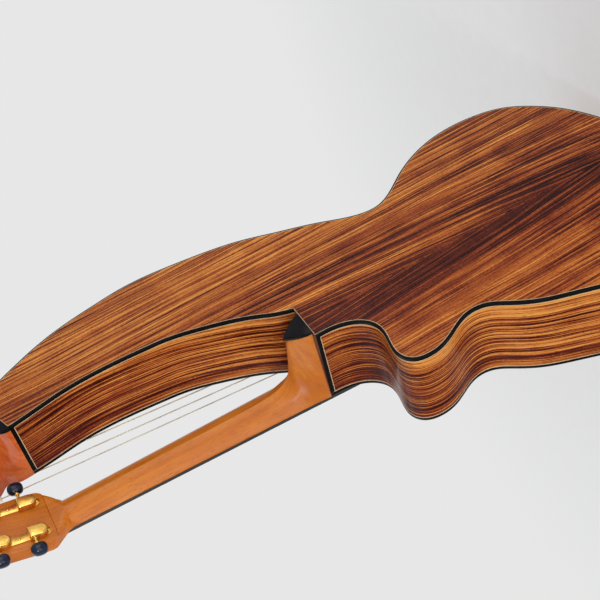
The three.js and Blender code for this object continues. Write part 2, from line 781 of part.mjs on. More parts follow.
function neckShaft() {
  const lowZ = BODY_Z + FIT;
  const lerp = THREE.MathUtils.lerp;
  const shaft = SHAFT_SHARES.map((share) => {
    const z = lerp(lowZ, -HEAD_FLARE_LEAD, share);
    const depth = lerp(NECK_DEPTH_AT_BODY, NECK_DEPTH_AT_NUT, share);
    return neckRing(z, neckHalfWidth(z), depth, NECK_ROUNDNESS, 0);
  });
  const flare = FLARE_SHARES.map(([along, widened, squared]) => neckRing(
    lerp(-HEAD_FLARE_LEAD, headPivotZ, along),
    lerp(neckHalfWidth(-HEAD_FLARE_LEAD), HEAD_ROOT_WIDTH / 2, widened),
    lerp(NECK_DEPTH_AT_NUT, HEAD_THICKNESS, along),
    lerp(NECK_ROUNDNESS, HEAD_SQUARENESS, squared),
    radians(HEAD_TILT_DEGREES) * along,
  ));
  return loft([...shaft, ...flare]);
}

// How far a heel's ridge stands out from the body at a height.
function ridge(y, projection, sweepLength, sweepDepth, backY) {
  const rise = THREE.MathUtils.clamp((backY + sweepDepth - y) / sweepDepth, 0, 1);
  return projection + sweepLength * (1 - Math.sqrt(1 - rise * rise));
}

// Half of a pointed arch: across as a share of the half width, out as a share of the ridge.
function archPoints(half, reach) {
  const side = HEEL_ARCH_SHARES.map((out) => new THREE.Vector2(
    half * (1 - out ** HEEL_POINT),
    reach * out,
  ));
  const other = side.map((point) => new THREE.Vector2(-point.x, point.y)).reverse();
  return [...side, new THREE.Vector2(0, reach), ...other];
}

function heelStack(widthAt, ridgeAt, depth, startZ) {
  return loft(HEEL_LEVEL_SHARES.map((share) => {
    const y = share * depth;
    return archPoints(widthAt(y), ridgeAt(y)).map((point) => new THREE.Vector3(
      point.x,
      y,
      startZ + point.y,
    ));
  }));
}

// The space on and above a heel's sloping face, and the cap that fills its first part.
function slopedArch(half, reach, lowY, thickness, startZ, slope) {
  const ring = (drop) => archPoints(half, reach).map((point) => new THREE.Vector3(
    point.x,
    lowY + drop - slope * point.y,
    startZ + point.y,
  ));
  return loft([ring(0), ring(thickness)]);
}

function headOutline(nutHalf, half, length, shares, startRise) {
  const side = shares.map(([across, up]) => new THREE.Vector2(across * half, up * length));
  const right = [new THREE.Vector2(nutHalf, startRise), ...side];
  const left = right.slice(0, -1).map((point) => new THREE.Vector2(-point.x, point.y)).reverse();
  return [...right, ...left];
}

function neckHeelWidth(y) {
  const share = y / HEEL_DEPTH;
  return (HEEL_WIDTH + (HEEL_CAP_WIDTH - HEEL_WIDTH) * share) / 2;
}

const headPivotZ = NUT_THICKNESS + 2 * FIT;

function atHead(geometry) {
  geometry.rotateX(-radians(HEAD_TILT_DEGREES));
  geometry.translate(0, 0, headPivotZ);
  return geometry;
}

function neck() {
  const capY = HEEL_DEPTH - CAP_THICKNESS - FIT;
  const heel = heelStack(
    neckHeelWidth,
    (y) => ridge(y, HEEL_PROJECTION, HEEL_SWEEP_LENGTH, HEEL_SWEEP_DEPTH, NECK_DEPTH_AT_BODY),
    HEEL_DEPTH,
    BODY_Z + FIT,
  );
  const capRoom = slopedArch(
    HEEL_WIDTH,
    2 * HEEL_PROJECTION,
    capY + CAP_SLOPE * OVERRUN,
    HEEL_DEPTH,
    BODY_Z - OVERRUN,
    CAP_SLOPE,
  );
  const plate = prism(
    headOutline(HEAD_ROOT_WIDTH / 2, HEAD_WIDTH / 2, HEAD_LENGTH, HEAD_SHARES, 0),
    0,
    HEAD_THICKNESS,
  );
  const holes = mainPosts.map(({ x, rise }) => atHead(postHole(x, rise, HEAD_THICKNESS)));
  return cut(
    join(neckShaft(), cut(heel, capRoom), neckTenon(0, 2 * FIT), atHead(plate)),
    ...holes,
  );
}

function heelCap() {
  const lowY = HEEL_DEPTH - CAP_THICKNESS;
  return slopedArch(
    HEEL_CAP_WIDTH / 2,
    HEEL_PROJECTION,
    lowY,
    CAP_THICKNESS,
    BODY_Z + FIT,
    CAP_SLOPE,
  );
}

function fingerboard() {
  const lowZ = -fretDistance(FRET_COUNT) - FINGERBOARD_OVERHANG;
  const boardY = -FIT - FINGERBOARD_THICKNESS;
  const points = [
    new THREE.Vector2(neckHalfWidth(0), 0),
    new THREE.Vector2(-neckHalfWidth(0), 0),
    new THREE.Vector2(-neckHalfWidth(lowZ), lowZ),
    new THREE.Vector2(neckHalfWidth(lowZ), lowZ),
  ];
  const frets = Array.from({ length: FRET_COUNT }, (_, i) => {
    const z = -fretDistance(i + 1);
    const half = neckHalfWidth(z) - FIT;
    const low = z - FRET_WIDTH / 2;
    return box(-half, half, boardY - FRET_HEIGHT, boardY + BLEND, low, low + FRET_WIDTH);
  });
  return join(prism(points, boardY, -FIT), ...frets);
}

function nut() {
  return box(-NUT_WIDTH / 2, NUT_WIDTH / 2, NUT_TOP_Y, -FIT, FIT, FIT + NUT_THICKNESS);
}

// Harp head

const harpMiddleX = -HARP_FIRST_AT_BRIDGE - harpFanShift() - 2 * HARP_SPACING_AT_NUT;

// How far the first sub-bass string moves towards the bass side between bridge and nut.
function harpFanShift() {
  return ARM_GAP_REACH * ARM_INNER_SHARES[0][0] - HARP_STRING_GAP - HARP_FIRST_AT_BRIDGE;
}

function atHarpHead(geometry) {
  geometry.rotateX(-radians(HARP_HEAD_TILT_DEGREES));
  geometry.translate(0, FIT, NUT_THICKNESS);
  return atHarpNut(geometry);
}

function atHarpNut(geometry) {
  geometry.rotateY(-radians(HARP_HEAD_LEAN_DEGREES));
  geometry.translate(harpMiddleX, 0, HARP_NUT_Z);
  return geometry;
}

const harpNutHalf = 2 * HARP_SPACING_AT_NUT + HARP_NUT_MARGIN;

function throatPoints() {
  const up = (corner, across, share, side) => new THREE.Vector2(
    corner.x + side * across * ARM_END_WIDTH,
    corner.y + share * (HARP_NUT_Z - corner.y),
  );
  const lean = radians(HARP_HEAD_LEAN_DEGREES);
  const nutEnd = (side, rise) => new THREE.Vector2(
    harpMiddleX + side * harpNutHalf * Math.cos(lean) - rise * Math.sin(lean),
    HARP_NUT_Z + side * harpNutHalf * Math.sin(lean) + rise * Math.cos(lean),
  );
  const step = armEndOutward.clone().multiplyScalar(FIT);
  const insetStep = armEndDirection.clone().multiplyScalar(HARP_HEEL_INSET);
  return [
    armInnerCorner.clone().add(step).add(insetStep),
    ...THROAT_TREBLE_SHARES.map(([across, share]) => up(armInnerCorner, across, share, -1)),
    nutEnd(1, 0),
    nutEnd(1, NUT_THICKNESS + OVERRUN),
    nutEnd(-1, NUT_THICKNESS + OVERRUN),
    nutEnd(-1, 0),
    ...THROAT_BASS_SHARES.map(([across, share]) => up(armOuterCorner, across, share, 1)).reverse(),
    armOuterCorner.clone().add(step).sub(insetStep),
  ];
}

function harpHead() {
  const backY = backFace(armEndMiddle.x, armEndMiddle.y) - (ARM_END_WIDTH / 2) * BACK_TAPER;
  const half = ARM_END_WIDTH / 2 - HARP_HEEL_INSET;
  const heel = atArmEnd(heelStack(
    () => half,
    (y) => ridge(
      y,
      HARP_HEEL_PROJECTION,
      HARP_HEEL_SWEEP_LENGTH,
      HARP_HEEL_SWEEP_DEPTH,
      HARP_HEAD_THICKNESS,
    ),
    backY,
    FIT,
  ));
  const capRoom = atArmEnd(slopedArch(
    ARM_END_WIDTH,
    2 * HARP_HEEL_PROJECTION,
    backY - CAP_THICKNESS - FIT + CAP_SLOPE * OVERRUN,
    HEEL_DEPTH,
    -OVERRUN,
    CAP_SLOPE,
  ));
  const plate = prism(
    headOutline(harpNutHalf, HARP_HEAD_WIDTH / 2, HARP_HEAD_LENGTH, HARP_HEAD_SHARES, -FIT),
    0,
    HARP_HEAD_THICKNESS,
  );
  const throat = prism(throatPoints(), FIT, FIT + HARP_HEAD_THICKNESS);
  const holes = harpPosts.map(({ x, rise }) => atHarpHead(postHole(x, rise, HARP_HEAD_THICKNESS)));
  return cut(
    join(cut(heel, capRoom), throat, atHarpHead(plate), harpTenon(0, 2 * FIT)),
    ...holes,
  );
}

function harpHeadCap() {
  const backY = backFace(armEndMiddle.x, armEndMiddle.y) - (ARM_END_WIDTH / 2) * BACK_TAPER;
  return atArmEnd(slopedArch(
    ARM_END_WIDTH / 2 - HARP_HEEL_INSET,
    HARP_HEEL_PROJECTION,
    backY - CAP_THICKNESS,
    CAP_THICKNESS,
    FIT,
    CAP_SLOPE,
  ));
}

function harpNut() {
  const geometry = box(
    -harpNutHalf + FIT,
    harpNutHalf - FIT,
    HARP_NUT_TOP_Y,
    0,
    0,
    NUT_THICKNESS - FIT,
  );
  return atHarpNut(geometry);
}

// Tuning machines, drawn on a head whose face is the plane y = 0, with +Z up the head

function postPlaces(half, firstRise, counts) {
  const places = [];
  [-1, 1].forEach((side, index) => {
    for (let i = 0; i < counts[index]; i += 1) {
      places.push({ side, x: side * (half - POST_EDGE_DISTANCE), rise: firstRise + i * POST_SPACING });
    }
  });
  return places;
}

const mainPosts = postPlaces(HEAD_WIDTH / 2, HEAD_POST_RISE, [3, 3]);
const harpPosts = postPlaces(HARP_HEAD_WIDTH / 2, HARP_POST_RISE, [3, 2]);
const wormRise = GEAR_RADIUS + WORM_RADIUS + FIT;

function postHole(x, rise, thickness) {
  const radius = POST_RADIUS + FIT;
  const geometry = new THREE.CylinderGeometry(radius, radius, POST_HOLE_LENGTH, POST_FACETS);
  geometry.translate(x, thickness / 2, rise);
  return geometry;
}

function gearY(thickness) {
  return thickness + 2 * FIT + COVER_ROOM + WORM_RADIUS - GEAR_THICKNESS / 2;
}

function post(thickness) {
  const gear = gearY(thickness);
  const waist = -POST_HEIGHT + POST_WAIST_WIDTH;
  const profile = [
    [0, -POST_HEIGHT],
    [POST_RADIUS, -POST_HEIGHT],
    [POST_RADIUS, waist],
    [POST_WAIST_RADIUS, waist],
    [POST_WAIST_RADIUS, waist + POST_WAIST_WIDTH],
    [POST_RADIUS, waist + POST_WAIST_WIDTH],
    [POST_RADIUS, gear],
    [GEAR_RADIUS, gear],
    [GEAR_RADIUS, gear + GEAR_THICKNESS],
    [0, gear + GEAR_THICKNESS],
  ];
  return new THREE.LatheGeometry(profile.map(([r, y]) => new THREE.Vector2(r, y)), POST_FACETS);
}

function button() {
  const half = WORM_LENGTH / 2;
  const collarEnd = BUTTON_REACH - BUTTON_LENGTH / 2 + BLEND;
  const profile = [
    [0, -half],
    [WORM_RADIUS, -half],
    [WORM_RADIUS, half],
    [SHAFT_RADIUS, half],
    [SHAFT_RADIUS, collarEnd - COLLAR_LENGTH],
    [COLLAR_RADIUS, collarEnd - COLLAR_LENGTH],
    [COLLAR_RADIUS, collarEnd],
    [0, collarEnd],
  ];
  const shaft = new THREE.LatheGeometry(profile.map(([r, y]) => new THREE.Vector2(r, y)), POST_FACETS);
  const knob = new THREE.SphereGeometry(1, POST_FACETS, BUTTON_RINGS);
  knob.scale(BUTTON_THICKNESS / 2, BUTTON_LENGTH / 2, BUTTON_WIDTH / 2);
  knob.translate(0, BUTTON_REACH, 0);
  return join(shaft, knob);
}

// The outline of a gear cover that lies round the gear below and the worm above.
function coverPoints(x, rise, grow) {
  const half = Math.max(GEAR_RADIUS, WORM_LENGTH / 2) + COVER_ROOM + grow;
  const top = rise + wormRise + WORM_RADIUS + COVER_ROOM + grow;
  const arc = Array.from({ length: COVER_ARC_FACETS + 1 }, (_, i) => {
    const angle = Math.PI + (Math.PI * i) / COVER_ARC_FACETS;
    return new THREE.Vector2(x + half * Math.cos(angle), rise + half * Math.sin(angle));
  });
  return [...arc, new THREE.Vector2(x + half, top), new THREE.Vector2(x - half, top)];
}

function tunerPlate(places, thickness) {
  const lowY = thickness + FIT;
  const roomY = lowY + FIT + 2 * (COVER_ROOM + WORM_RADIUS);
  const { x, side } = places[0];
  const first = places[0].rise - PLATE_MARGIN;
  const last = places[places.length - 1].rise + wormRise + PLATE_MARGIN;
  const strip = box(x - PLATE_WIDTH / 2, x + PLATE_WIDTH / 2, lowY, lowY + PLATE_THICKNESS, first, last);
  const highY = roomY + COVER_WALL;
  const covers = places.map(({ rise }) => prism(coverPoints(x, rise, COVER_WALL), lowY, highY));
  const rooms = places.map(({ rise }) => prism(coverPoints(x, rise, 0), lowY - OVERRUN, roomY));
  const shaftHoles = places.map(({ rise }) => {
    const radius = SHAFT_RADIUS + FIT;
    const hole = new THREE.CylinderGeometry(radius, radius, BUTTON_REACH, POST_FACETS);
    hole.rotateZ(Math.PI / 2);
    hole.translate(x + side * BUTTON_REACH / 2, gearY(thickness) + GEAR_THICKNESS / 2, rise + wormRise);
    return hole;
  });
  return cut(join(strip, ...covers), ...rooms, ...shaftHoles);
}

// Bridge, saddle and strap pin

function stringPlaces() {
  const neckStrings = NECK_STRING_RADII.map((radius, i) => {
    const share = i / (NECK_STRING_RADII.length - 1) - 0.5;
    return { radius, bridgeX: share * BRIDGE_STRING_SPREAD, nutX: share * NUT_STRING_SPREAD };
  });
  const harpStrings = HARP_STRING_RADII.map((radius, i) => ({
    radius,
    bridgeX: -HARP_FIRST_AT_BRIDGE - i * HARP_SPACING_AT_BRIDGE,
    nutX: (2 - i) * HARP_SPACING_AT_NUT,
  }));
  return { neckStrings, harpStrings };
}

const { neckStrings, harpStrings } = stringPlaces();

function bridgeSpan() {
  const low = harpStrings[harpStrings.length - 1].bridgeX;
  const high = neckStrings[neckStrings.length - 1].bridgeX;
  return { low: low - BRIDGE_WING, high: high + BRIDGE_WING };
}

function saddleBox(grow, lowY, highY) {
  const { low, high } = bridgeSpan();
  const inset = BRIDGE_WING - SADDLE_MARGIN;
  const half = SADDLE_THICKNESS / 2 + grow;
  return box(low + inset - grow, high - inset + grow, lowY, highY, SADDLE_Z - half, SADDLE_Z + half);
}

function bridge() {
  const { low, high } = bridgeSpan();
  const blank = box(low, high, BRIDGE_TOP_Y, -FIT, SADDLE_Z - BRIDGE_REAR, SADDLE_Z + BRIDGE_FRONT);
  const pins = [...neckStrings, ...harpStrings].map(({ bridgeX }) => {
    const pin = new THREE.CylinderGeometry(PIN_RADIUS, PIN_TIP_RADIUS, PIN_HEIGHT + BLEND, PIN_FACETS);
    pin.translate(bridgeX, BRIDGE_TOP_Y - PIN_HEIGHT / 2 + BLEND / 2, SADDLE_Z - PIN_DISTANCE);
    return pin;
  });
  const slot = saddleBox(FIT, BRIDGE_TOP_Y - OVERRUN, BRIDGE_TOP_Y + SADDLE_SLOT_DEPTH);
  return cut(join(blank, ...pins), slot);
}

function saddle() {
  return saddleBox(0, SADDLE_TOP_Y, BRIDGE_TOP_Y + SADDLE_SLOT_DEPTH - FIT);
}

function endPin() {
  const profile = [
    [0, -PIN_HEAD_THICKNESS - PIN_NECK_LENGTH],
    [PIN_HEAD_RADIUS, -PIN_HEAD_THICKNESS - PIN_NECK_LENGTH],
    [PIN_HEAD_RADIUS, -PIN_NECK_LENGTH],
    [PIN_NECK_RADIUS, -PIN_NECK_LENGTH],
    [PIN_NECK_RADIUS, -FIT],
    [PIN_STEM_RADIUS, -FIT],
    [PIN_STEM_RADIUS, PIN_STEM_LENGTH],
    [0, PIN_STEM_LENGTH],
  ];
  const geometry = new THREE.LatheGeometry(
    profile.map(([r, y]) => new THREE.Vector2(r, y)),
    PIN_STEM_FACETS,
  );
  geometry.rotateX(Math.PI / 2);
  geometry.translate(0, backFace(0, TAIL_Z) / 2, TAIL_Z);
  return geometry;
}

// Strings

class StringRoute extends THREE.Curve {
  constructor(points) {
    super();
    this.points = points;
  }

  getPoint(t, target = new THREE.Vector3()) {
    const place = t * (this.points.length - 1);
    const i = Math.min(Math.floor(place), this.points.length - 2);
    return target.lerpVectors(this.points[i], this.points[i + 1], place - i);
  }

  getPointAt(u, target) {
    return this.getPoint(u, target);
  }

  getTangentAt(u, target = new THREE.Vector3()) {
    const i = Math.round(u * (this.points.length - 1));
    const before = this.points[Math.max(i - 1, 0)];
    const here = this.points[i];
    const after = this.points[Math.min(i + 1, this.points.length - 1)];
    const arriving = new THREE.Vector3().subVectors(here, before).normalize();
    const leaving = new THREE.Vector3().subVectors(after, here).normalize();
    return target.addVectors(arriving, leaving).normalize();
  }
}

function wire(points, radius) {
  const ring = Array.from({ length: STRING_SIDES }, (_, i) => {
    const angle = (2 * Math.PI * i) / STRING_SIDES;
    return new THREE.Vector2(radius * Math.cos(angle), radius * Math.sin(angle));
  });
  return new THREE.ExtrudeGeometry(new THREE.Shape(ring), {
    steps: points.length - 1,
    extrudePath: new StringRoute(points),
  });
}

function bridgePoints({ bridgeX, radius }) {
  const rise = radius + FIT;
  const half = SADDLE_THICKNESS / 2;
  return [
    new THREE.Vector3(bridgeX, BRIDGE_TOP_Y - 2 * rise, SADDLE_Z - PIN_DISTANCE + PIN_RADIUS + rise),
    new THREE.Vector3(bridgeX, SADDLE_TOP_Y - rise, SADDLE_Z - half - rise / 2),
  ];
}

function onHead(place, transform) {
  const point = new THREE.BufferGeometry().setFromPoints([place]);
  transform(point);
  return new THREE.Vector3().fromBufferAttribute(point.attributes.position, 0);
}

// The point where a string meets the inner side of its post's waist.
function postPoint({ x, side, rise }, radius, transform) {
  const waist = -POST_HEIGHT + POST_WAIST_WIDTH + POST_WAIST_WIDTH / 2;
  const place = new THREE.Vector3(x - side * (POST_WAIST_RADIUS + radius + FIT), waist, rise);
  return onHead(place, transform);
}

function neckString(index) {
  const string = neckStrings[index];
  const rise = string.radius + FIT;
  const half = NECK_STRING_RADII.length / 2;
  const place = index < half ? mainPosts[index] : mainPosts[NECK_STRING_RADII.length - 1 - index + half];
  const points = [
    ...bridgePoints(string),
    new THREE.Vector3(string.nutX, NUT_TOP_Y - rise, FIT),
    new THREE.Vector3(string.nutX, NUT_TOP_Y - rise, FIT + NUT_THICKNESS),
    postPoint(place, string.radius, atHead),
  ];
  return wire(points, string.radius);
}

// From the neck outwards: two strings go to the treble side's posts and three to the bass side's.
function harpString(index) {
  const string = harpStrings[index];
  const rise = string.radius + FIT;
  const place = index < 2 ? harpPosts[3 + index] : harpPosts[harpStrings.length - 1 - index];
  const y = HARP_NUT_TOP_Y - rise;
  const points = [
    ...bridgePoints(string),
    onHead(new THREE.Vector3(string.nutX, y, 0), atHarpNut),
    onHead(new THREE.Vector3(string.nutX, y, NUT_THICKNESS), atHarpNut),
    postPoint(place, string.radius, atHarpHead),
  ];
  return wire(points, string.radius);
}

// Materials

const finish = (color, roughness, metalness = 0) => new THREE.MeshStandardMaterial({
  color,
  roughness,
  metalness,
});
const rosewood = finish(0x8a4a24, 0.35);
const rosewoodSide = finish(0x9a5528, 0.4);
const spruce = finish(0xd9b27a, 0.45);
const braceSpruce = finish(0xd8bd8c, 0.8);
const mahogany = finish(0xc07a3f, 0.5);
const redMahogany = finish(0xb0542a, 0.25);
const blockMahogany = finish(0x8f5a36, 0.8);
const ebony = finish(0x17120f, 0.35);
const bone = finish(0xe9e0c8, 0.4);
const gold = finish(0xc79a3c, 0.28, 1);
const blackButton = finish(0x15151a, 0.25);
const bronze = finish(0xb5713a, 0.4, 1);
const steel = finish(0xc9c9c9, 0.3, 1);

const harpGuitar = new THREE.Group();

function add(name, geometry, material, parent = harpGuitar) {
  const mesh = new THREE.Mesh(geometry, material);
  mesh.name = name;
  parent.add(mesh);
  return mesh;
}

add("soundboard", soundboard(), spruce);
add("back_plate_bass", backPlate(-1), rosewood);
add("back_plate_treble", backPlate(1), rosewood);
add("side_treble", sideTreble(), rosewoodSide);
add("side_bass", sideBass(), rosewoodSide);
add("side_arm_inner", sideArmInner(), rosewoodSide);
add("top_binding", topBinding(), ebony);
add("back_binding", backBinding(), ebony);
add("neck_block", neckBlock(), blockMahogany);
add("tail_block", tailBlock(), blockMahogany);
add("harp_block", harpBlock(), blockMahogany);
add("top_bracing", topBracing(), braceSpruce);
add("back_bracing", backBracing(), braceSpruce);
add("neck", neck(), mahogany);
add("heel_cap", heelCap(), ebony);
add("fingerboard", fingerboard(), ebony);
add("nut", nut(), bone);
add("harp_head", harpHead(), redMahogany);
add("harp_head_cap", harpHeadCap(), ebony);
add("harp_nut", harpNut(), bone);
add("bridge", bridge(), ebony);
add("saddle", saddle(), bone);
add("end_pin", endPin(), ebony);

const SIDE_NAMES = { "-1": "bass", 1: "treble" };

function addTuners(prefix, places, thickness, transform) {
  [-1, 1].forEach((side) => {
    const row = places.filter((place) => place.side === side);
    const name = `${prefix}_tuner_plate_${SIDE_NAMES[side]}`;
    add(name, transform(tunerPlate(row, thickness)), gold);
    row.forEach((place, i) => {
      const label = `${SIDE_NAMES[side]}_${i + 1}`;
      const turned = post(thickness);
      turned.translate(place.x, 0, place.rise);
      add(`${prefix}_post_${label}`, transform(turned), gold);
      const knob = button();
      knob.rotateZ(-side * Math.PI / 2);
      knob.translate(place.x, gearY(thickness) + GEAR_THICKNESS / 2, place.rise + wormRise);
      add(`${prefix}_button_${label}`, transform(knob), blackButton);
    });
  });
}

addTuners("head", mainPosts, HEAD_THICKNESS, atHead);
addTuners("harp", harpPosts, HARP_HEAD_THICKNESS, atHarpHead);

neckStrings.forEach((string, i) => {
  const metal = i < NECK_STRING_RADII.length - 2 ? bronze : steel;
  add(`string_${NECK_STRING_RADII.length - i}`, neckString(i), metal);
});
harpStrings.forEach((string, i) => add(`harp_string_${i + 1}`, harpString(i), bronze));

export default harpGuitar;
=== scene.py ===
import math

import bmesh
import bpy
import numpy as np
from mathutils import Matrix, Vector
from mathutils.geometry import delaunay_2d_cdt


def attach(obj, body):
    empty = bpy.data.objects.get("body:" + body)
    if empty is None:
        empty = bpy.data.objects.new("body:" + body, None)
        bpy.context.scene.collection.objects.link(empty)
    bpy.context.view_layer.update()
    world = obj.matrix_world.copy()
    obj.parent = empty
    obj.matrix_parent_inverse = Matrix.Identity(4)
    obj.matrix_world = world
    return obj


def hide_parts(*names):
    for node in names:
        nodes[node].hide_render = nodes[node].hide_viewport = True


# The looks of the harp guitar. Lengths here are in millimetres, as in the CAD source, and become
# metres where a mesh is made. +Z runs up the neck, the back faces +Y, the treble side is +X.

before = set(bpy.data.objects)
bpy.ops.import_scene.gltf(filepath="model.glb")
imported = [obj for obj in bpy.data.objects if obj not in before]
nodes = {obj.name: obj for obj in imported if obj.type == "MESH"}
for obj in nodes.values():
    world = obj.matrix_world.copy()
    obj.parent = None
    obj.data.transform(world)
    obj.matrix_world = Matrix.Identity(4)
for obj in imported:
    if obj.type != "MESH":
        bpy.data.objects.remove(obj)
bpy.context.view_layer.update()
MM = 0.001
QUARTER = math.pi / 2

# ---------------------------------------------------------------- sizes shared with the CAD source

SCALE_LENGTH = 635.0
FIT = 0.3


def fret_distance(fret):
    return SCALE_LENGTH * (1 - 2 ** (-fret / 12))


BODY_Z = -fret_distance(14)
BODY_LENGTH = 487.0
TAIL_Z = BODY_Z - BODY_LENGTH
WAIST_DROP = 160.0
HORN_REACH = 135.3
TREBLE_BOUT_REACH = 191.0
BASS_BOUT_REACH = 205.5
ARM_LENGTH = 352.5
ARM_REACH = 226.0
ARM_GAP_REACH = 98.3
ARM_END_WIDTH = 71.0
ARM_END_TILT = math.radians(18)
ARM_CORNER_X = -ARM_GAP_REACH * 0.855
HEEL_DEPTH = 102.0
HEEL_HALF = 28.5
HEEL_REACH = 31.0
BACK_TAPER = 20.0 / BODY_LENGTH
BACK_RADIUS = 3600.0
BINDING_WIDTH = 2.3
NUT_WIDTH = 43.5
NECK_GAIN = 11.5
NECK_DEPTH = 18
FLARE_DEPTH = 14.4
FLARE_Z = -16
CAP_THICKNESS = 3.2
CAP_SLOPE = 0.25
HARP_NUT_Z = BODY_Z + ARM_LENGTH + 44.0
HARP_MIDDLE_X = ARM_CORNER_X + 2.0 - 35.0
HARP_HEEL_REACH = 26.0
HEAD_HALF, HEAD_LENGTH, HEAD_THICKNESS = 41.0, 160.0, 15.0
HARP_HALF, HARP_LENGTH, HARP_THICKNESS = 43.0, 140.0, 16.0
HEAD_TILT = math.radians(14)
HARP_TILT = math.radians(10)
HARP_LEAN = math.radians(5)

# Points of the outline, as shares of the reaches and lengths above.
CUTAWAY = [
    (0.003, 0.125), (0.042, 0.23), (0.136, 0.33), (0.286, 0.393), (0.48, 0.393), (0.66, 0.37),
    (0.82, 0.372), (0.95, 0.428), (1, 0.53), (0.974, 0.67), (0.857, 0.82), (0.768, 0.95),
    (0.777, 1.088),
]
TREBLE_BOUT = [
    (0.66, 0.403), (0.757, 0.46), (0.822, 0.52), (0.89, 0.591), (0.958, 0.661), (1, 0.735),
    (0.984, 0.811), (0.906, 0.879), (0.759, 0.932), (0.55, 0.971), (0.288, 0.994), (0, 1),
]
BASS_BOUT = [
    (0.243, 0.987), (0.448, 0.962), (0.633, 0.928), (0.803, 0.877), (0.92, 0.822), (0.983, 0.75),
    (1, 0.673), (0.973, 0.597), (0.904, 0.526), (0.793, 0.456), (0.676, 0.397), (0.618, 0.347),
    (0.637, 0.29), (0.749, 0.2), (0.866, 0.095), (0.962, 0.007),
]
ARM_OUTER = [
    (0.927, 0.1), (0.971, 0.237), (0.998, 0.357), (1, 0.457), (0.98, 0.557), (0.942, 0.691),
    (0.889, 0.801), (0.823, 0.894), (0.76, 0.971),
]
ARM_INNER = [
    (0.855, 1), (0.9, 0.923), (0.972, 0.814), (1, 0.706), (0.99, 0.597), (0.959, 0.494),
    (0.92, 0.409), (0.804, 0.303), (0.636, 0.186), (0.483, 0.107), (0.39, 0.066),
]


def back_face(x, z):
    """The height of the back's outer face."""
    return HEEL_DEPTH + BACK_TAPER * (BODY_Z - z) - x * x / (2 * BACK_RADIUS)


# ---------------------------------------------------------------- body outline


def unit(v):
    return v / np.maximum(np.linalg.norm(v, axis=-1, keepdims=True), 1e-12)


def lengths(p):
    """The length along a path at each of its points."""
    return np.concatenate([[0], np.cumsum(np.linalg.norm(np.diff(p, axis=0), axis=1))])


def cubic(points, step):
    """Natural cubic spline through the points, sampled at about one step."""
    p = np.array(points, float)
    t = lengths(p)
    h = np.diff(t)
    n = len(t)
    a = np.zeros((n, n))
    b = np.zeros((n, p.shape[1]))
    a[0, 0] = a[-1, -1] = 1
    for i in range(1, n - 1):
        a[i, i - 1], a[i, i], a[i, i + 1] = h[i - 1], 2 * (h[i - 1] + h[i]), h[i]
        b[i] = 6 * ((p[i + 1] - p[i]) / h[i] - (p[i] - p[i - 1]) / h[i - 1])
    m = np.linalg.solve(a, b)
    s = np.linspace(0, t[-1], int(t[-1] / step) + 2)
    k = np.clip(np.searchsorted(t, s, side="right") - 1, 0, n - 2)
    u, w, hk = (s - t[k])[:, None], (t[k + 1] - s)[:, None], h[k][:, None]
    return (
        m[k] * w**3 / (6 * hk)
        + m[k + 1] * u**3 / (6 * hk)
        + (p[k] / hk - m[k] * hk / 6) * w
        + (p[k + 1] / hk - m[k + 1] * hk / 6) * u
    )


def smoothed(p, sigma, step):
    """The curve with its ends pinned and short waves taken out."""
    reach = int(3 * sigma / step)
    head = 2 * p[0] - p[reach:0:-1]
    tail = 2 * p[-1] - p[-2 : -reach - 2 : -1]
    padded = np.vstack([head, p, tail])
    k = np.arange(-reach, reach + 1) * step
    weight = np.exp(-(k**2) / (2 * sigma**2))
    weight /= weight.sum()
    out = np.stack([np.convolve(column, weight, "valid") for column in padded.T], 1)
    out[0], out[-1] = p[0], p[-1]
    return out


def sampled(at, s, p):
    """The path p at the lengths in at. s holds the length at each of its points."""
    return np.stack([np.interp(at, s, column) for column in p.T], 1)


def resampled(p, count):
    s = lengths(p)
    return sampled(np.linspace(0, s[-1], count), s, p)


class Edge:
    """Part of the body's outline: points (x, z), the way in at each, and the length along it."""

    def __init__(self, points, ways=None, s=None):
        along = unit(np.gradient(points, axis=0))
        self.p = points
        self.n = np.stack([along[:, 1], -along[:, 0]], 1) if ways is None else ways
        self.s = lengths(points) if s is None else s

    def between(self, s0, s1):
        inside = (self.s > s0 + 0.05) & (self.s < s1 - 0.05)
        s = np.concatenate([[s0], self.s[inside], [s1]])
        return Edge(sampled(s, self.s, self.p), sampled(s, self.s, self.n), s)

    def ends(self, first, last):
        """The same edge, with the way in at its two ends along the lines given."""
        n = self.n.copy()
        n[0] = np.array(first) / np.dot(first, self.n[0])
        n[-1] = np.array(last) / np.dot(last, self.n[-1])
        return Edge(self.p, n, self.s)

    def inset(self, d):
        return self.p + self.n * d


heel_treble = np.array([HEEL_HALF, BODY_Z])
heel_bass = np.array([-HEEL_HALF, BODY_Z])
arm_inner_corner = np.array([ARM_CORNER_X, BODY_Z + ARM_LENGTH])
arm_end_way = np.array([-math.cos(ARM_END_TILT), math.sin(ARM_END_TILT)])
arm_end_out = np.array([arm_end_way[1], -arm_end_way[0]])
arm_outer_corner = arm_inner_corner + arm_end_way * ARM_END_WIDTH
arm_middle = arm_inner_corner + arm_end_way * ARM_END_WIDTH / 2


def placed(shares, reach, length, start=0.0):
    return [(start + a * reach, BODY_Z + b * length) for a, b in shares]


outer_points = [
    heel_treble,
    *placed(CUTAWAY, HORN_REACH - HEEL_HALF, -WAIST_DROP, HEEL_HALF),
    *placed(TREBLE_BOUT, TREBLE_BOUT_REACH, -BODY_LENGTH),
    *placed(BASS_BOUT, -BASS_BOUT_REACH, -BODY_LENGTH),
    *placed(ARM_OUTER, -ARM_REACH, ARM_LENGTH),
    arm_outer_corner,
]
inner_points = [*placed(ARM_INNER, -ARM_GAP_REACH, ARM_LENGTH), heel_bass]
DENSE_STEP = 0.5
EDGE_STEP = 2.5
SMOOTHING = 5.0


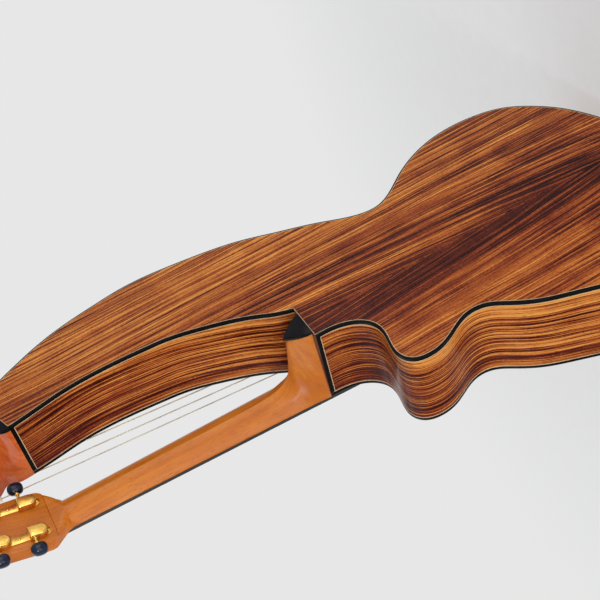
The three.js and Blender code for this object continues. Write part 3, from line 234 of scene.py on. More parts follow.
def dense(points):
    return smoothed(cubic(points, DENSE_STEP), SMOOTHING, DENSE_STEP)


def even(p):
    return resampled(p, int(lengths(p)[-1] / EDGE_STEP) + 2)


def tail_index(p):
    """The outline's point on the middle line at the tail, and not the one at the heel."""
    return int(np.argmin(np.abs(p[:, 0]) + (p[:, 1] > TAIL_Z + 30) * 1e3))


outer_dense = dense(outer_points)
tail = tail_index(outer_dense)
outer_dense[tail, 0] = 0.0
outer_edge = Edge(np.vstack([even(outer_dense[: tail + 1]), even(outer_dense[tail:])[1:]]))
outer_edge = outer_edge.ends((-1, 0), -arm_end_way)
inner_edge = Edge(even(dense(inner_points))).ends(arm_end_way, (-1, 0))
EDGES = (outer_edge, inner_edge)
TAIL_INDEX = tail_index(outer_edge.p)
TAIL_S = float(outer_edge.s[TAIL_INDEX])

# ---------------------------------------------------------------- mesh helpers
# A part is a pair: its points in millimetres and its faces.


def linked(name, data):
    made = bpy.data.objects.new(name, data)
    bpy.context.scene.collection.objects.link(made)
    return made


def mesh_of(name, part, scale=MM):
    verts, faces = part
    mesh = bpy.data.meshes.new(name)
    points = (np.asarray(verts, float) * scale).tolist()
    mesh.from_pydata(points, [], [list(map(int, f)) for f in faces])
    return mesh


def cleaned(mesh, weld=0.0):
    """Joins points that are closer than weld and makes the faces look out."""
    work = bmesh.new()
    work.from_mesh(mesh)
    if weld:
        bmesh.ops.remove_doubles(work, verts=work.verts, dist=weld)
    bmesh.ops.recalc_face_normals(work, faces=work.faces)
    work.to_mesh(mesh)
    work.free()


def shown(name, mesh, material, slot, body="guitar", replaces=(), angle=35):
    """A mesh as an object. It rides on a body and may stand for CAD nodes."""
    mesh.shade_smooth()
    mesh.set_sharp_from_angle(angle=math.radians(angle))
    mesh.materials.clear()
    mesh.materials.append(material)
    made = linked(name, mesh)
    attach(made, body)
    if replaces:
        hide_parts(*replaces)


def piece(name, part, material, slot, uv=None, **how):
    """A part as an object. uv holds the length along and across the grain at each point, and how
    the body, the CAD nodes replaced and the least angle of a sharp edge."""
    mesh = mesh_of(name, part)
    if uv is not None:
        layer = mesh.uv_layers.new(name="grain")
        index = np.zeros(len(mesh.loops), np.int32)
        mesh.loops.foreach_get("vertex_index", index)
        layer.data.foreach_set("uv", (np.asarray(uv, np.float32)[index] * MM).ravel())
    mesh.validate()
    cleaned(mesh, 2e-6)
    shown(name, mesh, material, slot, **how)


def tube_of(rings, closed=False):
    """A skin through rings with the same number of points. Closed, its last ring joins the first,
    and if not, each end has a cap."""
    rings = np.asarray(rings, float)
    rows, columns = rings.shape[:2]
    faces = []
    for i in range(rows if closed else rows - 1):
        a, b = i * columns, (i + 1) % rows * columns
        for j in range(columns):
            k = (j + 1) % columns
            faces.append((a + j, a + k, b + k, b + j))
    if not closed:
        faces.append(tuple(range(columns)))
        faces.append(tuple(range((rows - 1) * columns, rows * columns))[::-1])
    return rings.reshape(-1, 3), faces


def raised(p, height):
    """Flat points (x, z) at a height, which is a number or a function of x and z."""
    y = height(p[:, 0], p[:, 1]) if callable(height) else np.full(len(p), float(height))
    return np.stack([p[:, 0], y, p[:, 1]], 1)


def lifted(loop, z):
    """Flat points (x, y) at one z."""
    return np.column_stack([loop, np.full(len(loop), z)])


def mirrored(half):
    """A whole loop from its half on the +x side, which ends on the middle line."""
    return np.vstack([half, (half[:-1] * [-1, 1])[::-1]])


def band(edge, section, closed=False):
    """A bar along an outline edge. A section point is (inset, height)."""
    columns = [raised(edge.inset(inset), height) for inset, height in section]
    return tube_of(np.stack(columns, 1), closed)


def band_uv(edge, section):
    """For each point of a band, its length along the edge and its height less its inset."""
    columns = [
        np.stack([edge.s, raised(edge.p, height)[:, 1] - inset], 1) for inset, height in section
    ]
    return np.stack(columns, 1).reshape(-1, 2)


def merged(parts):
    verts, faces, base = [], [], 0
    for v, f in parts:
        verts.append(np.asarray(v, float))
        faces += [tuple(i + base for i in face) for face in f]
        base += len(v)
    return np.vstack(verts), faces


def corner_ways(loop):
    """The way in at each point of a loop, and what to divide it by for an inset of one."""
    before = unit(loop - np.roll(loop, 1, 0))
    after = unit(np.roll(loop, -1, 0) - loop)
    next_one = np.roll(loop, -1, 0)
    area = np.sum(loop[:, 0] * next_one[:, 1] - loop[:, 1] * next_one[:, 0])
    turn = 1.0 if area > 0 else -1.0
    nb = turn * np.stack([-before[:, 1], before[:, 0]], 1)
    na = turn * np.stack([-after[:, 1], after[:, 0]], 1)
    return nb + na, np.maximum(1 + np.sum(nb * na, 1, keepdims=True), 0.6)


def inset_loop(loop, d):
    way, k = corner_ways(loop)
    return loop + d * way / k


def quarter(radius, count):
    """A rounded edge: steps in from one side, and what is left from the other."""
    return [
        (radius * (1 - math.cos(a)), radius * (1 - math.sin(a)))
        for a in np.linspace(0, QUARTER, count)
    ]


def rounded_prism(loop, y0, y1, r0=0.0, r1=0.0, steps=4):
    """A flat outline (x, z) drawn from y0 to y1, with its edges rounded."""
    loop = np.asarray(loop, float)
    levels = [(inset, y0 + rise) for rise, inset in quarter(r0, steps + 1 if r0 else 1)]
    levels += [(inset, y1 - drop) for inset, drop in quarter(r1, steps + 1 if r1 else 1)]
    return tube_of([raised(inset_loop(loop, d) if d > 0 else loop, y) for d, y in levels])


def around(count):
    return np.linspace(0, 2 * math.pi, count, endpoint=False)


def round_ring(a, y, radius):
    """Points round Y at the angles a. The radius is one number, or one for each angle."""
    return np.stack([radius * np.cos(a), np.full(len(a), y), radius * np.sin(a)], 1)


def lathe(profile, count=32, hollow=False):
    """A solid of revolution about Y through (radius, y) points. Hollow, the profile is the
    section of a ring."""
    rings = np.array([round_ring(around(count), y, r) for r, y in profile])
    return tube_of(rings.transpose(1, 0, 2), closed=True) if hollow else tube_of(rings)


def spot(x, y, z, angle=0.0, axis="X"):
    """A turn about an axis and then a move."""
    return Matrix.Translation((x, y, z)) @ Matrix.Rotation(angle, 4, axis)


def turned(verts, matrix):
    m = np.array(matrix, float)
    return np.asarray(verts) @ m[:3, :3].T + m[:3, 3]


def posed(part, matrix):
    return turned(part[0], matrix), part[1]


def shifted(part, x, y, z):
    return np.asarray(part[0]) + [x, y, z], part[1]


def plate(loop, top, thickness, hole=None, spacing=12.0):
    """A thin plate: the area inside a flat loop, with its outer face at the height top."""
    loops = [loop] if hole is None else [loop, hole]
    points, edges = [], []
    for one in loops:
        base = len(points)
        points += [Vector(p) for p in one.tolist()]
        edges += [(base + i, base + (i + 1) % len(one)) for i in range(len(one))]
    low, high = loop.min(0), loop.max(0)
    border = np.vstack(loops)
    for x in np.arange(low[0] + spacing / 2, high[0], spacing):
        for z in np.arange(low[1] + spacing / 2, high[1], spacing):
            if np.min(np.abs(border[:, 0] - x) + np.abs(border[:, 1] - z)) > spacing * 0.5:
                points.append(Vector((x, z)))
    out = delaunay_2d_cdt(points, edges, [], 1, 1e-4)
    p = np.array([tuple(v) for v in out[0]])
    tris = [tuple(f) for f in out[2]]
    if hole is not None:
        middle = hole.mean(0)
        radius = np.linalg.norm(hole[0] - middle)
        tris = [t for t in tris if np.linalg.norm(p[list(t)].mean(0) - middle) > radius * 0.995]
    outer = raised(p, top)
    inner = outer - np.array([0, thickness, 0])
    n = len(p)
    faces = tris + [tuple(i + n for i in t[::-1]) for t in tris]
    sides = [(t[i], t[(i + 1) % 3]) for t in tris for i in range(3)]
    known = set(sides)
    faces += [(b, a, a + n, b + n) for a, b in sides if (b, a) not in known]
    return np.vstack([outer, inner]), faces


# ---------------------------------------------------------------- materials


def linear(*rgb):
    return tuple(c / 12.92 if c <= 0.04045 else ((c + 0.055) / 1.055) ** 2.4 for c in rgb) + (1.0,)


def shaded(tone, *shares):
    """A tone darkened by one share, or by one for each of its channels."""
    return linear(*[c * s for c, s in zip(tone, shares * 3 if len(shares) == 1 else shares)])


class Finish:
    """A material under construction, with short names for its nodes."""

    def __init__(self, name, roughness, specular=0.5, metallic=0.0):
        self.material = bpy.data.materials.new(name)
        self.material.use_nodes = True
        self.nodes = self.material.node_tree.nodes
        self.links = self.material.node_tree.links
        self.shader = self.nodes["Principled BSDF"]
        self.shader.inputs["Roughness"].default_value = roughness
        self.shader.inputs["Metallic"].default_value = metallic
        self.shader.inputs["Specular IOR Level"].default_value = specular

    def plug(self, value, socket):
        if isinstance(value, bpy.types.NodeSocket):
            self.links.new(value, socket)
        else:
            socket.default_value = value

    def node(self, kind, *values):
        """A new node with its first inputs filled."""
        node = self.nodes.new(kind)
        for value, socket in zip(values, node.inputs):
            self.plug(value, socket)
        return node

    def xyz(self):
        """The place in metres, as three outputs."""
        place = self.nodes.new("ShaderNodeTexCoord").outputs["Object"]
        return self.node("ShaderNodeSeparateXYZ", place).outputs

    def grain_uv(self):
        """The lengths along and across the grain in metres."""
        uv = self.nodes.new("ShaderNodeUVMap")
        uv.uv_map = "grain"
        return self.node("ShaderNodeSeparateXYZ", uv.outputs["UV"]).outputs[:2]

    def math(self, operation, *values):
        node = self.node("ShaderNodeMath", *values)
        node.operation = operation
        return node.outputs[0]

    def add(self, a, b):
        return self.math("ADD", a, b)

    def sub(self, a, b):
        return self.math("SUBTRACT", a, b)

    def mul(self, a, b):
        return self.math("MULTIPLY", a, b)

    def noise(self, lengths, scales, detail=2.0, roughness=0.5, seed=0.0):
        """Noise over up to three lengths, each with a scale. seed follows fewer than three."""
        parts = [self.mul(a, b) for a, b in zip(lengths, scales)] + [seed]
        node = self.nodes.new("ShaderNodeTexNoise")
        self.plug(self.node("ShaderNodeCombineXYZ", *parts).outputs[0], node.inputs["Vector"])
        for name, value in (("Scale", 1.0), ("Detail", detail), ("Roughness", roughness)):
            node.inputs[name].default_value = value
        return node.outputs["Fac"]

    def fit(self, value, from_low, from_high, to_low=0.0, to_high=1.0, smooth=False):
        """The value brought from one range to another, and held there."""
        node = self.node("ShaderNodeMapRange", value, from_low, from_high, to_low, to_high)
        node.interpolation_type = "SMOOTHSTEP" if smooth else "LINEAR"
        return node.outputs[0]

    def ramp(self, value, stops, mode="LINEAR"):
        """A colour ramp. A stop is a place with a colour, or with a plain level from 0 to 1."""
        node = self.node("ShaderNodeValToRGB", value)
        node.color_ramp.interpolation = mode
        elements = node.color_ramp.elements
        elements.remove(elements[0])
        for i, (at, color) in enumerate(stops):
            element = elements.new(at) if i else elements[0]
            element.position = at
            element.color = linear(*color) if isinstance(color, tuple) else (color,) * 3 + (1.0,)
        return node.outputs["Color"]

    def mix(self, share, a, b):
        node = self.nodes.new("ShaderNodeMix")
        node.data_type = "RGBA"
        for value, index in ((share, 0), (a, 6), (b, 7)):
            self.plug(value, node.inputs[index])
        return node.outputs[2]

    def blend(self, noise, low, high, first, second):
        """One colour where the noise is low and the other where it is high."""
        return self.mix(self.fit(noise, low, high), linear(*first), linear(*second))

    def made(self, color, roughness, height, strength, distance):
        bump = self.nodes.new("ShaderNodeBump")
        bump.inputs["Strength"].default_value = strength
        bump.inputs["Distance"].default_value = distance
        self.plug(height, bump.inputs["Height"])
        for value, name in (
            (color, "Base Color"), (roughness, "Roughness"), (bump.outputs[0], "Normal"),
        ):
            self.plug(value, self.shader.inputs[name])
        return self.material


ROSEWOOD = [
    (0.0, (0.09, 0.030, 0.030)), (0.16, (0.21, 0.068, 0.052)), (0.32, (0.38, 0.140, 0.078)),
    (0.46, (0.54, 0.238, 0.108)), (0.60, (0.665, 0.343, 0.138)), (0.78, (0.775, 0.460, 0.190)),
    (1.0, (0.88, 0.60, 0.29)),
]
PORE_COLOR = linear(0.10, 0.04, 0.03)
RED_COLOR = linear(0.44, 0.13, 0.10)


def rosewood(name, place, zones, layers, specular, red):
    """Striped rosewood under gloss lacquer. place gives the lengths across and along the grain,
    in metres, and zones the lightness of each broad zone and the strength of its stripes. layers
    are the stripes: how many to a metre across and along the grain, a seed, and their contrast.
    red is the least share of the red hue."""
    f = Finish(name, 0.2, specular)
    u, v = place(f)
    slow = f.noise((u, v), (12.0, 2.6))
    quick = f.noise((u, v), (50.0, 16.0))
    drift = f.fit(slow, 0.2, 0.8, -0.0035, 0.0035), f.fit(quick, 0.2, 0.8, -0.0007, 0.0007)
    w = f.add(u, f.add(*drift))

    t, strength = zones(f, w)
    strength = f.mul(strength, f.fit(t, 0.22, 0.42, 0.62, 1.0))
    for scale, run, seed, share in layers:
        n = f.noise((w, v), (scale, run), 2.0, 0.55, seed)
        t = f.add(t, f.mul(strength, f.fit(n, 0.30, 0.70, -share, share)))
    for scale, run, seed in ((150.0, 1.4, 11.0), (290.0, 2.2, 13.0)):
        n = f.noise((w, v), (scale, run), 1.0, seed=seed)
        off = f.math("ABSOLUTE", f.sub(n, 0.5))
        t = f.add(t, f.fit(off, 0.0, 0.035, -0.20, 0.0, smooth=True))
    figure = f.noise((u, v), (420.0, 330.0), 2.0, 0.6, 5.0)
    t = f.add(t, f.fit(figure, 0.3, 0.7, -0.085, 0.085))
    cloud = f.noise((u, v), (26.0, 30.0), seed=5.0)
    t = f.add(t, f.fit(cloud, 0.3, 0.7, -0.06, 0.06))

    pore = f.noise((w, v), (1900.0, 120.0), 1.0, seed=2.2)
    pores = f.fit(pore, 0.58, 0.70, 0.0, 0.5, smooth=True)
    hue = f.noise((w, v), (60.0, 3.0), seed=9.0)
    shade = f.mix(pores, f.ramp(t, ROSEWOOD), PORE_COLOR)
    shade = f.mix(f.fit(hue, 0.52, 0.75, red, red + 0.35), shade, RED_COLOR)
    height = f.add(f.mul(t, 0.3), f.mul(pores, -0.5))
    return f.made(shade, f.fit(cloud, 0.3, 0.7, 0.19, 0.27), height, 0.12, 0.00008)


def back_place(f):
    """From the seam, where the grain leans by the distance below the heel, and along z."""
    x, _, z = f.xyz()
    far = f.math("ABSOLUTE", x)
    down = f.sub(BODY_Z * MM, z)
    share = f.mul(far, 1 / 0.080)
    near = f.math("POWER", 2.718, f.mul(f.mul(share, share), -1.0))
    lean = f.mul(f.mul(f.sub(down, 0.16), near), 0.105)
    return f.add(far, lean), z


def side_place(f):
    along, across = f.grain_uv()
    return across, along


# Lightness of the back's zones by the distance from the seam, as a share of ZONES_WIDTH: bass,
# bass near the tail, treble, and treble near the tail.
ZONES_WIDTH = 0.24
BACK_ZONES = (
    [
        (0.0, 0.36), (0.06, 0.36), (0.09, 0.60), (0.12, 0.62), (0.145, 0.42), (0.20, 0.36),
        (0.26, 0.42), (0.30, 0.56), (0.36, 0.52), (0.41, 0.48), (0.46, 0.60), (0.52, 0.68),
        (0.58, 0.72), (0.64, 0.68), (0.70, 0.76), (0.75, 0.68), (0.80, 0.74), (0.84, 0.60),
        (0.88, 0.68), (0.94, 0.54), (1.0, 0.62),
    ],
    [
        (0.0, 0.30), (0.08, 0.32), (0.16, 0.28), (0.22, 0.36), (0.28, 0.50), (0.34, 0.40),
        (0.40, 0.46), (0.48, 0.60), (0.56, 0.50), (0.64, 0.55), (0.72, 0.56), (0.78, 0.48),
        (0.86, 0.54), (1.0, 0.50),
    ],
    [
        (0.0, 0.32), (0.04, 0.26), (0.10, 0.25), (0.15, 0.30), (0.20, 0.44), (0.27, 0.54),
        (0.32, 0.56), (0.38, 0.60), (0.44, 0.58), (0.50, 0.62), (0.57, 0.58), (0.64, 0.66),
        (0.72, 0.52), (0.80, 0.64), (0.90, 0.52), (1.0, 0.58),
    ],
    [
        (0.0, 0.30), (0.10, 0.26), (0.20, 0.36), (0.27, 0.46), (0.33, 0.44), (0.40, 0.50),
        (0.46, 0.58), (0.54, 0.60), (0.62, 0.56), (0.70, 0.64), (0.78, 0.54), (0.90, 0.58),
        (1.0, 0.52),
    ],
)
# Lightness of the sides by the height over the top, as a share of SIDE_HEIGHT, and then by the
# place along the body: everywhere, painted shade in the treble side's concave bends, and a
# painted highlight on its bulges near the back.
SIDE_HEIGHT = 0.125
SIDE_ZONES = [
    (0.0, 0.50), (0.05, 0.44), (0.14, 0.41), (0.22, 0.50), (0.29, 0.66), (0.36, 0.62),
    (0.42, 0.50), (0.48, 0.56), (0.54, 0.50), (0.60, 0.64), (0.66, 0.57), (0.72, 0.72),
    (0.78, 0.68), (0.84, 0.83), (0.92, 0.74), (1.0, 0.80),
]
SIDE_ALONG = (
    [
        (0.0, 0.40), (0.08, 0.44), (0.16, 0.53), (0.24, 0.60), (0.34, 0.62), (0.41, 0.47),
        (0.48, 0.48), (0.54, 0.51), (0.64, 0.63), (0.8, 0.62), (1.0, 0.58),
    ],
    # Painted shade in the concave bends of the cutaway and the waist.
    [
        (0.44, 0.0), (0.465, 0.5), (0.484, 1.0), (0.493, 0.2), (0.52, 0.0), (0.56, 0.1),
        (0.59, 0.9), (0.62, 0.2), (0.64, 0.0),
    ],
    # Painted highlight on the bulges beyond the cutaway.
    [(0.488, 0.0), (0.505, 1.0), (0.54, 0.9), (0.58, 0.2), (0.65, 0.6), (0.70, 0.0)],
)


def back_zones(f, w):
    x, _, z = f.xyz()
    at = f.mul(w, 1 / ZONES_WIDTH)
    low_from, low_to = (BODY_Z - 190) * MM, (BODY_Z - 330) * MM
    low = f.fit(z, low_to, low_from, 1.0, 0.0, smooth=True)
    bass, bass_low, treble, treble_low = [f.ramp(at, stops) for stops in BACK_ZONES]
    sides = f.mix(low, bass, bass_low), f.mix(low, treble, treble_low)
    return f.mix(f.fit(x, -0.0001, 0.0001), *sides), f.fit(x, -0.02, 0.03, 1.0, 0.66)


def side_zones(f, w):
    x, _, z = f.xyz()
    at = f.fit(z, 0.0, -0.85)
    # Painted shade in the treble side's concave bends, and a painted highlight on its bulges near
    # the back.
    along, painted_bend_shade, painted_bulge_highlight = [f.ramp(at, stops, "EASE") for stops in SIDE_ALONG]
    painted_bulge_highlight = f.mul(painted_bulge_highlight, f.fit(w, 0.064, 0.090, 0.0, 0.17))
    painted_side_light = f.mul(f.fit(x, 0.0, 0.02), f.sub(painted_bulge_highlight, f.mul(painted_bend_shade, 0.14)))
    zones = f.ramp(f.mul(w, 1 / SIDE_HEIGHT), SIDE_ZONES)
    return f.add(f.add(zones, painted_side_light), f.sub(along, 0.5)), 1.45


def mahogany(name, tones, roughness, specular):
    """Ribboned mahogany, with its light, middle and dark tone."""
    light, mid, dark = tones
    f = Finish(name, roughness, specular)
    x, y, z = f.xyz()
    wave = f.noise((x, y, z), (12.0, 12.0, 4.0))
    u = f.add(f.add(x, f.mul(y, 0.35)), f.fit(wave, 0.2, 0.8, -0.004, 0.004))
    streak = f.noise((u, y, z), (300.0, 50.0, 5.0), 3.0, 0.6)
    cloud = f.noise((x, y, z), (14.0, 14.0, 7.0))
    ribbon = f.noise((u, y, z), (60.0, 20.0, 24.0))
    t = f.add(f.add(f.mul(streak, 0.42), f.mul(cloud, 0.30)), f.mul(ribbon, 0.28))
    pore = f.noise((u, y, z), (2100.0, 1100.0, 120.0), 1.0)
    pores = f.fit(pore, 0.58, 0.74, 0.0, 0.45, smooth=True)
    shade = f.mix(pores, f.ramp(t, [(0.32, dark), (0.5, mid), (0.68, light)]), shaded(dark, 0.5))
    rough = f.fit(cloud, 0.3, 0.7, roughness * 0.88, roughness * 1.15)
    return f.made(shade, rough, f.sub(f.mul(streak, 0.2), pores), 0.10, 0.00006)


def spruce(name, tone, roughness, specular):
    """Spruce with its year rings across x, the same on both sides of the seam."""
    f = Finish(name, roughness, specular)
    x, y, z = f.xyz()
    slow = f.noise((x, y, z), (9.0, 9.0, 3.0))
    far = f.add(f.math("ABSOLUTE", x), f.mul(y, 0.4))
    u = f.add(far, f.fit(slow, 0.0, 1.0, -0.003, 0.003))
    line = f.math("POWER", f.math("FRACT", f.mul(u, 720.0)), 5.0)
    year = f.noise((u,), (90.0,))
    silk = f.noise((u, y, z), (60.0, 60.0, 260.0))
    base = f.mix(f.fit(year, 0.35, 0.65), linear(*tone), shaded(tone, 0.97, 0.92, 0.84))
    bright = linear(*[min(1, c * 1.06) for c in tone])
    base = f.mix(f.fit(silk, 0.5, 0.7, 0.0, 0.25), base, bright)
    shade = f.mix(f.mul(line, 0.55), base, shaded(tone, 0.80, 0.66, 0.50))
    rough = f.fit(silk, 0.3, 0.7, roughness * 0.9, roughness * 1.12)
    return f.made(shade, rough, line, 0.08, 0.00005)


def plain(name, base, second, roughness, specular, grain=True):
    """A fine material of one tone, with a faint grain along z or small clouds."""
    f = Finish(name, roughness, specular)
    if grain:
        patches = f.noise(f.xyz(), (500.0, 500.0, 18.0), 3.0)
    else:
        patches = f.noise(f.xyz(), (90.0,) * 3, 4.0)
    rough = f.fit(patches, 0.3, 0.7, roughness * 0.85, roughness * 1.2)
    return f.made(f.blend(patches, 0.4, 0.7, base, second), rough, patches, 0.05, 0.00005)


def metal(name, base, second, roughness):
    f = Finish(name, roughness, metallic=1.0)
    place = f.xyz()
    cloud = f.noise(place, (120.0,) * 3, 3.0)
    fine = f.noise(place, (2500.0, 2500.0, 700.0))
    rough = f.fit(cloud, 0.3, 0.7, roughness * 0.8, roughness * 1.3)
    return f.made(f.blend(cloud, 0.42, 0.68, base, second), rough, fine, 0.04, 0.00002)


def bone_finish():
    f = Finish("bone", 0.33)
    cloud = f.noise(f.xyz(), (140.0, 300.0, 300.0), 4.0)
    stops = [(0.3, (0.80, 0.74, 0.60)), (0.55, (0.90, 0.86, 0.75)), (0.8, (0.94, 0.91, 0.83))]
    rough = f.fit(cloud, 0.3, 0.7, 0.28, 0.4)
    return f.made(f.ramp(cloud, stops), rough, cloud, 0.05, 0.00005)


def winding(name, base, second, pitch, roughness):
    """Wire wound round a core: the turns show as fine ridges across the string."""
    f = Finish(name, roughness, metallic=1.0)
    s, t = f.grain_uv()
    ridge = f.math("SINE", f.add(f.mul(s, 6283.2 / pitch), f.mul(t, 6.2832)))
    cloud = f.noise((s, t), (30.0, 2.0), 3.0)
    # Painted shade darkens the grooves between the turns.
    painted_groove_shade = f.fit(ridge, -1.0, 0.6, 0.35, 0.0)
    shade = f.mix(painted_groove_shade, f.blend(cloud, 0.4, 0.7, base, second), shaded(second, 0.5))
    rough = f.fit(cloud, 0.3, 0.7, roughness * 0.85, roughness * 1.2)
    return f.made(shade, rough, ridge, 0.12, 0.00005)


BACK_LAYERS = (
    (130.0, 0.8, 17.3, 0.10), (220.0, 1.2, 3.7, 0.26), (540.0, 3.6, 7.1, 0.30),
    (1150.0, 13.0, 1.9, 0.32),
)
SIDE_LAYERS = (400.0, 2.0, 4.9, 0.30), (600.0, 5.0, 7.1, 0.32), (1250.0, 13.0, 1.9, 0.26)
NECK_TONES = (0.80, 0.485, 0.135), (0.735, 0.40, 0.085), (0.65, 0.32, 0.065)
RED_TONES = (0.82, 0.44, 0.21), (0.75, 0.35, 0.155), (0.62, 0.23, 0.10)
BLOCK_TONES = (0.66, 0.46, 0.33), (0.56, 0.36, 0.24), (0.46, 0.27, 0.17)
BACK = rosewood("back_rosewood", back_place, back_zones, BACK_LAYERS, 0.10, 0.0)
SIDE = rosewood("side_rosewood", side_place, side_zones, SIDE_LAYERS, 0.04, 0.12)
NECK = mahogany("neck_mahogany", NECK_TONES, 0.32, 0.3)
RED = mahogany("red_mahogany", RED_TONES, 0.09, 0.2)
BLOCK = mahogany("block_mahogany", BLOCK_TONES, 0.75, 0.3)
TOP = spruce("soundboard_spruce", (0.89, 0.76, 0.54), 0.22, 0.4)
BRACE = spruce("brace_spruce", (0.85, 0.75, 0.55), 0.7, 0.3)
BINDING = plain("binding_black", (0.028, 0.026, 0.026), (0.05, 0.046, 0.044), 0.24, 0.06, False)
EBONY = plain("ebony", (0.075, 0.062, 0.058), (0.13, 0.105, 0.09), 0.34, 0.4)
CAP = plain("cap_black", (0.03, 0.028, 0.042), (0.06, 0.055, 0.08), 0.18, 0.09, False)
KNOB = plain("button_black", (0.045, 0.065, 0.125), (0.09, 0.12, 0.21), 0.16, 0.25, False)
PALE = plain("purfling_maple", (0.70, 0.60, 0.46), (0.79, 0.70, 0.56), 0.35, 0.3)
HEEL_STRIP_FINISH = plain("heel_dark_strip", (0.42, 0.16, 0.10), (0.52, 0.24, 0.15), 0.4, 0.4)
PEARL = plain("pearl", (0.86, 0.87, 0.84), (0.72, 0.80, 0.80), 0.2, 0.5, False)
GOLD = metal("gold_plate", (0.90, 0.72, 0.38), (0.80, 0.60, 0.28), 0.24)
STEEL = metal("fret_steel", (0.80, 0.79, 0.77), (0.70, 0.69, 0.67), 0.25)
BONE = bone_finish()
BRONZE = winding("wound_bronze", (0.82, 0.58, 0.36), (0.70, 0.47, 0.27), 0.42, 0.4)
SILVER = winding("wound_silver", (0.80, 0.76, 0.70), (0.68, 0.64, 0.58), 0.5, 0.42)
WIRE = winding("plain_wire", (0.88, 0.87, 0.85), (0.78, 0.77, 0.75), 3.0, 0.22)

# ---------------------------------------------------------------- body

BLACK_DEPTH = 4.7
RIM_Y = BLACK_DEPTH + 0.95
TOP_LINE = 0.7
LINE_DEPTH = 1.5
END_LINE = 0.5
PLATE_INSET = BINDING_WIDTH + TOP_LINE
STRIP = 4.5
STRIP_END = STRIP + 0.9
ROUND = 0.9
PLATE_THICKNESS = 2.8
LINING = 7.0
LINING_LOW = 2.9
LINING_HIGH = LINING_LOW + 14.0


def up(drop):
    """A depth below the back's face, as a function of x and z."""
    return lambda x, z: back_face(x, z) - drop


def front(depth):
    """A depth below the top's face, which lies at 0."""
    return depth


def black_section(at_top):
    """The binding's section, rounded at its outer corner. at_top gives the height at a depth."""
    points = [(0.0, BLACK_DEPTH), *quarter(ROUND, 6)]
    points += [(BINDING_WIDTH, 0.0), (BINDING_WIDTH, BLACK_DEPTH)]
    return [(inset, at_top(depth)) for inset, depth in points]


def box(inset0, inset1, y0, y1):
    return [(inset0, y0), (inset0, y1), (inset1, y1), (inset1, y0)]


heel_line = resampled(np.array([heel_bass, heel_treble]), 24)
arm_line = resampled(np.array([arm_outer_corner, arm_inner_corner]), 28)
ring_points = np.vstack([outer_edge.p, arm_line[1:], inner_edge.p[1:], heel_line[1:-1]])
ring_way, ring_k = corner_ways(ring_points)
whole_edge = Edge(ring_points, ring_way / ring_k)
piece(
    "top_binding_strip", band(whole_edge, black_section(front), closed=True),
    BINDING, "binding", replaces=["top_binding"],
)
for name, section in (
    ("top_side_line", box(0.0, BINDING_WIDTH, BLACK_DEPTH, RIM_Y)),
    ("top_face_line", box(BINDING_WIDTH, PLATE_INSET, 0.0, LINE_DEPTH)),
):
    piece(name, band(whole_edge, section, closed=True), PALE, "binding")

# On the back, a black strip stands across each end of the rim, with a pale line beside it.
strip_section = box(0.0, BINDING_WIDTH, BLACK_DEPTH, up(BLACK_DEPTH - 0.2))
black = [band(edge, black_section(up)) for edge in EDGES]
black += [band(edge.between(0.0, STRIP), strip_section) for edge in EDGES]
piece("back_binding_strip", merged(black), BINDING, "binding", replaces=["back_binding"])

rim_section = box(0.0, BINDING_WIDTH, up(RIM_Y), up(BLACK_DEPTH))
post_section = box(0.0, BINDING_WIDTH, BLACK_DEPTH, up(BLACK_DEPTH))
face_section = box(BINDING_WIDTH, PLATE_INSET, up(0.0), up(LINE_DEPTH))
pale = [band(edge.between(STRIP, edge.s[-1]), rim_section) for edge in EDGES]
pale += [band(edge.between(STRIP, STRIP_END), post_section) for edge in EDGES]
pale += [band(edge, face_section) for edge in EDGES]
for ends, inward in (
    ([heel_bass - [2.5, 0], heel_treble - [BINDING_WIDTH, 0]], np.array([0.0, -1.0])),
    ([arm_outer_corner - arm_end_way * 2.5, arm_inner_corner + arm_end_way * 2.5], -arm_end_out),
):
    end_edge = Edge(resampled(np.array(ends), 12), np.tile(inward, (12, 1)))
    pale.append(band(end_edge, box(0.0, END_LINE, up(0.0), up(LINE_DEPTH))))
piece("pale_lines", merged(pale), PALE, "binding")

side_section = [
    (0.0, RIM_Y), (0.0, up(RIM_Y)), (BINDING_WIDTH, up(RIM_Y)), (BINDING_WIDTH, up(LINING_LOW)),
    (LINING, up(LINING_LOW)), (BINDING_WIDTH, up(LINING_HIGH)), (BINDING_WIDTH, LINING_HIGH),
    (LINING, LINING_LOW), (BINDING_WIDTH, LINING_LOW), (BINDING_WIDTH, RIM_Y),
]
for name, edge, node in (
    ("rim_treble", outer_edge.between(STRIP_END, TAIL_S), "side_treble"),
    ("rim_bass", outer_edge.between(TAIL_S, outer_edge.s[-1]), "side_bass"),
    ("rim_arm_inner", inner_edge.between(STRIP_END, inner_edge.s[-1]), "side_arm_inner"),
):
    uv = band_uv(edge, side_section)
    piece(name, band(edge, side_section), SIDE, "side_rosewood", replaces=[node], uv=uv)

outer_back, inner_back = outer_edge.inset(PLATE_INSET), inner_edge.inset(PLATE_INSET)
outer_back[0] += [0.0, -END_LINE]
inner_back[-1] += [0.0, -END_LINE]
outer_back[-1] -= arm_end_out * END_LINE
inner_back[0] -= arm_end_out * END_LINE


def straight(a, b, step=4.0):
    """A straight line with its points about one step apart."""
    return resampled(np.array([a, b]), max(int(np.linalg.norm(b - a) / step), 1) + 1)


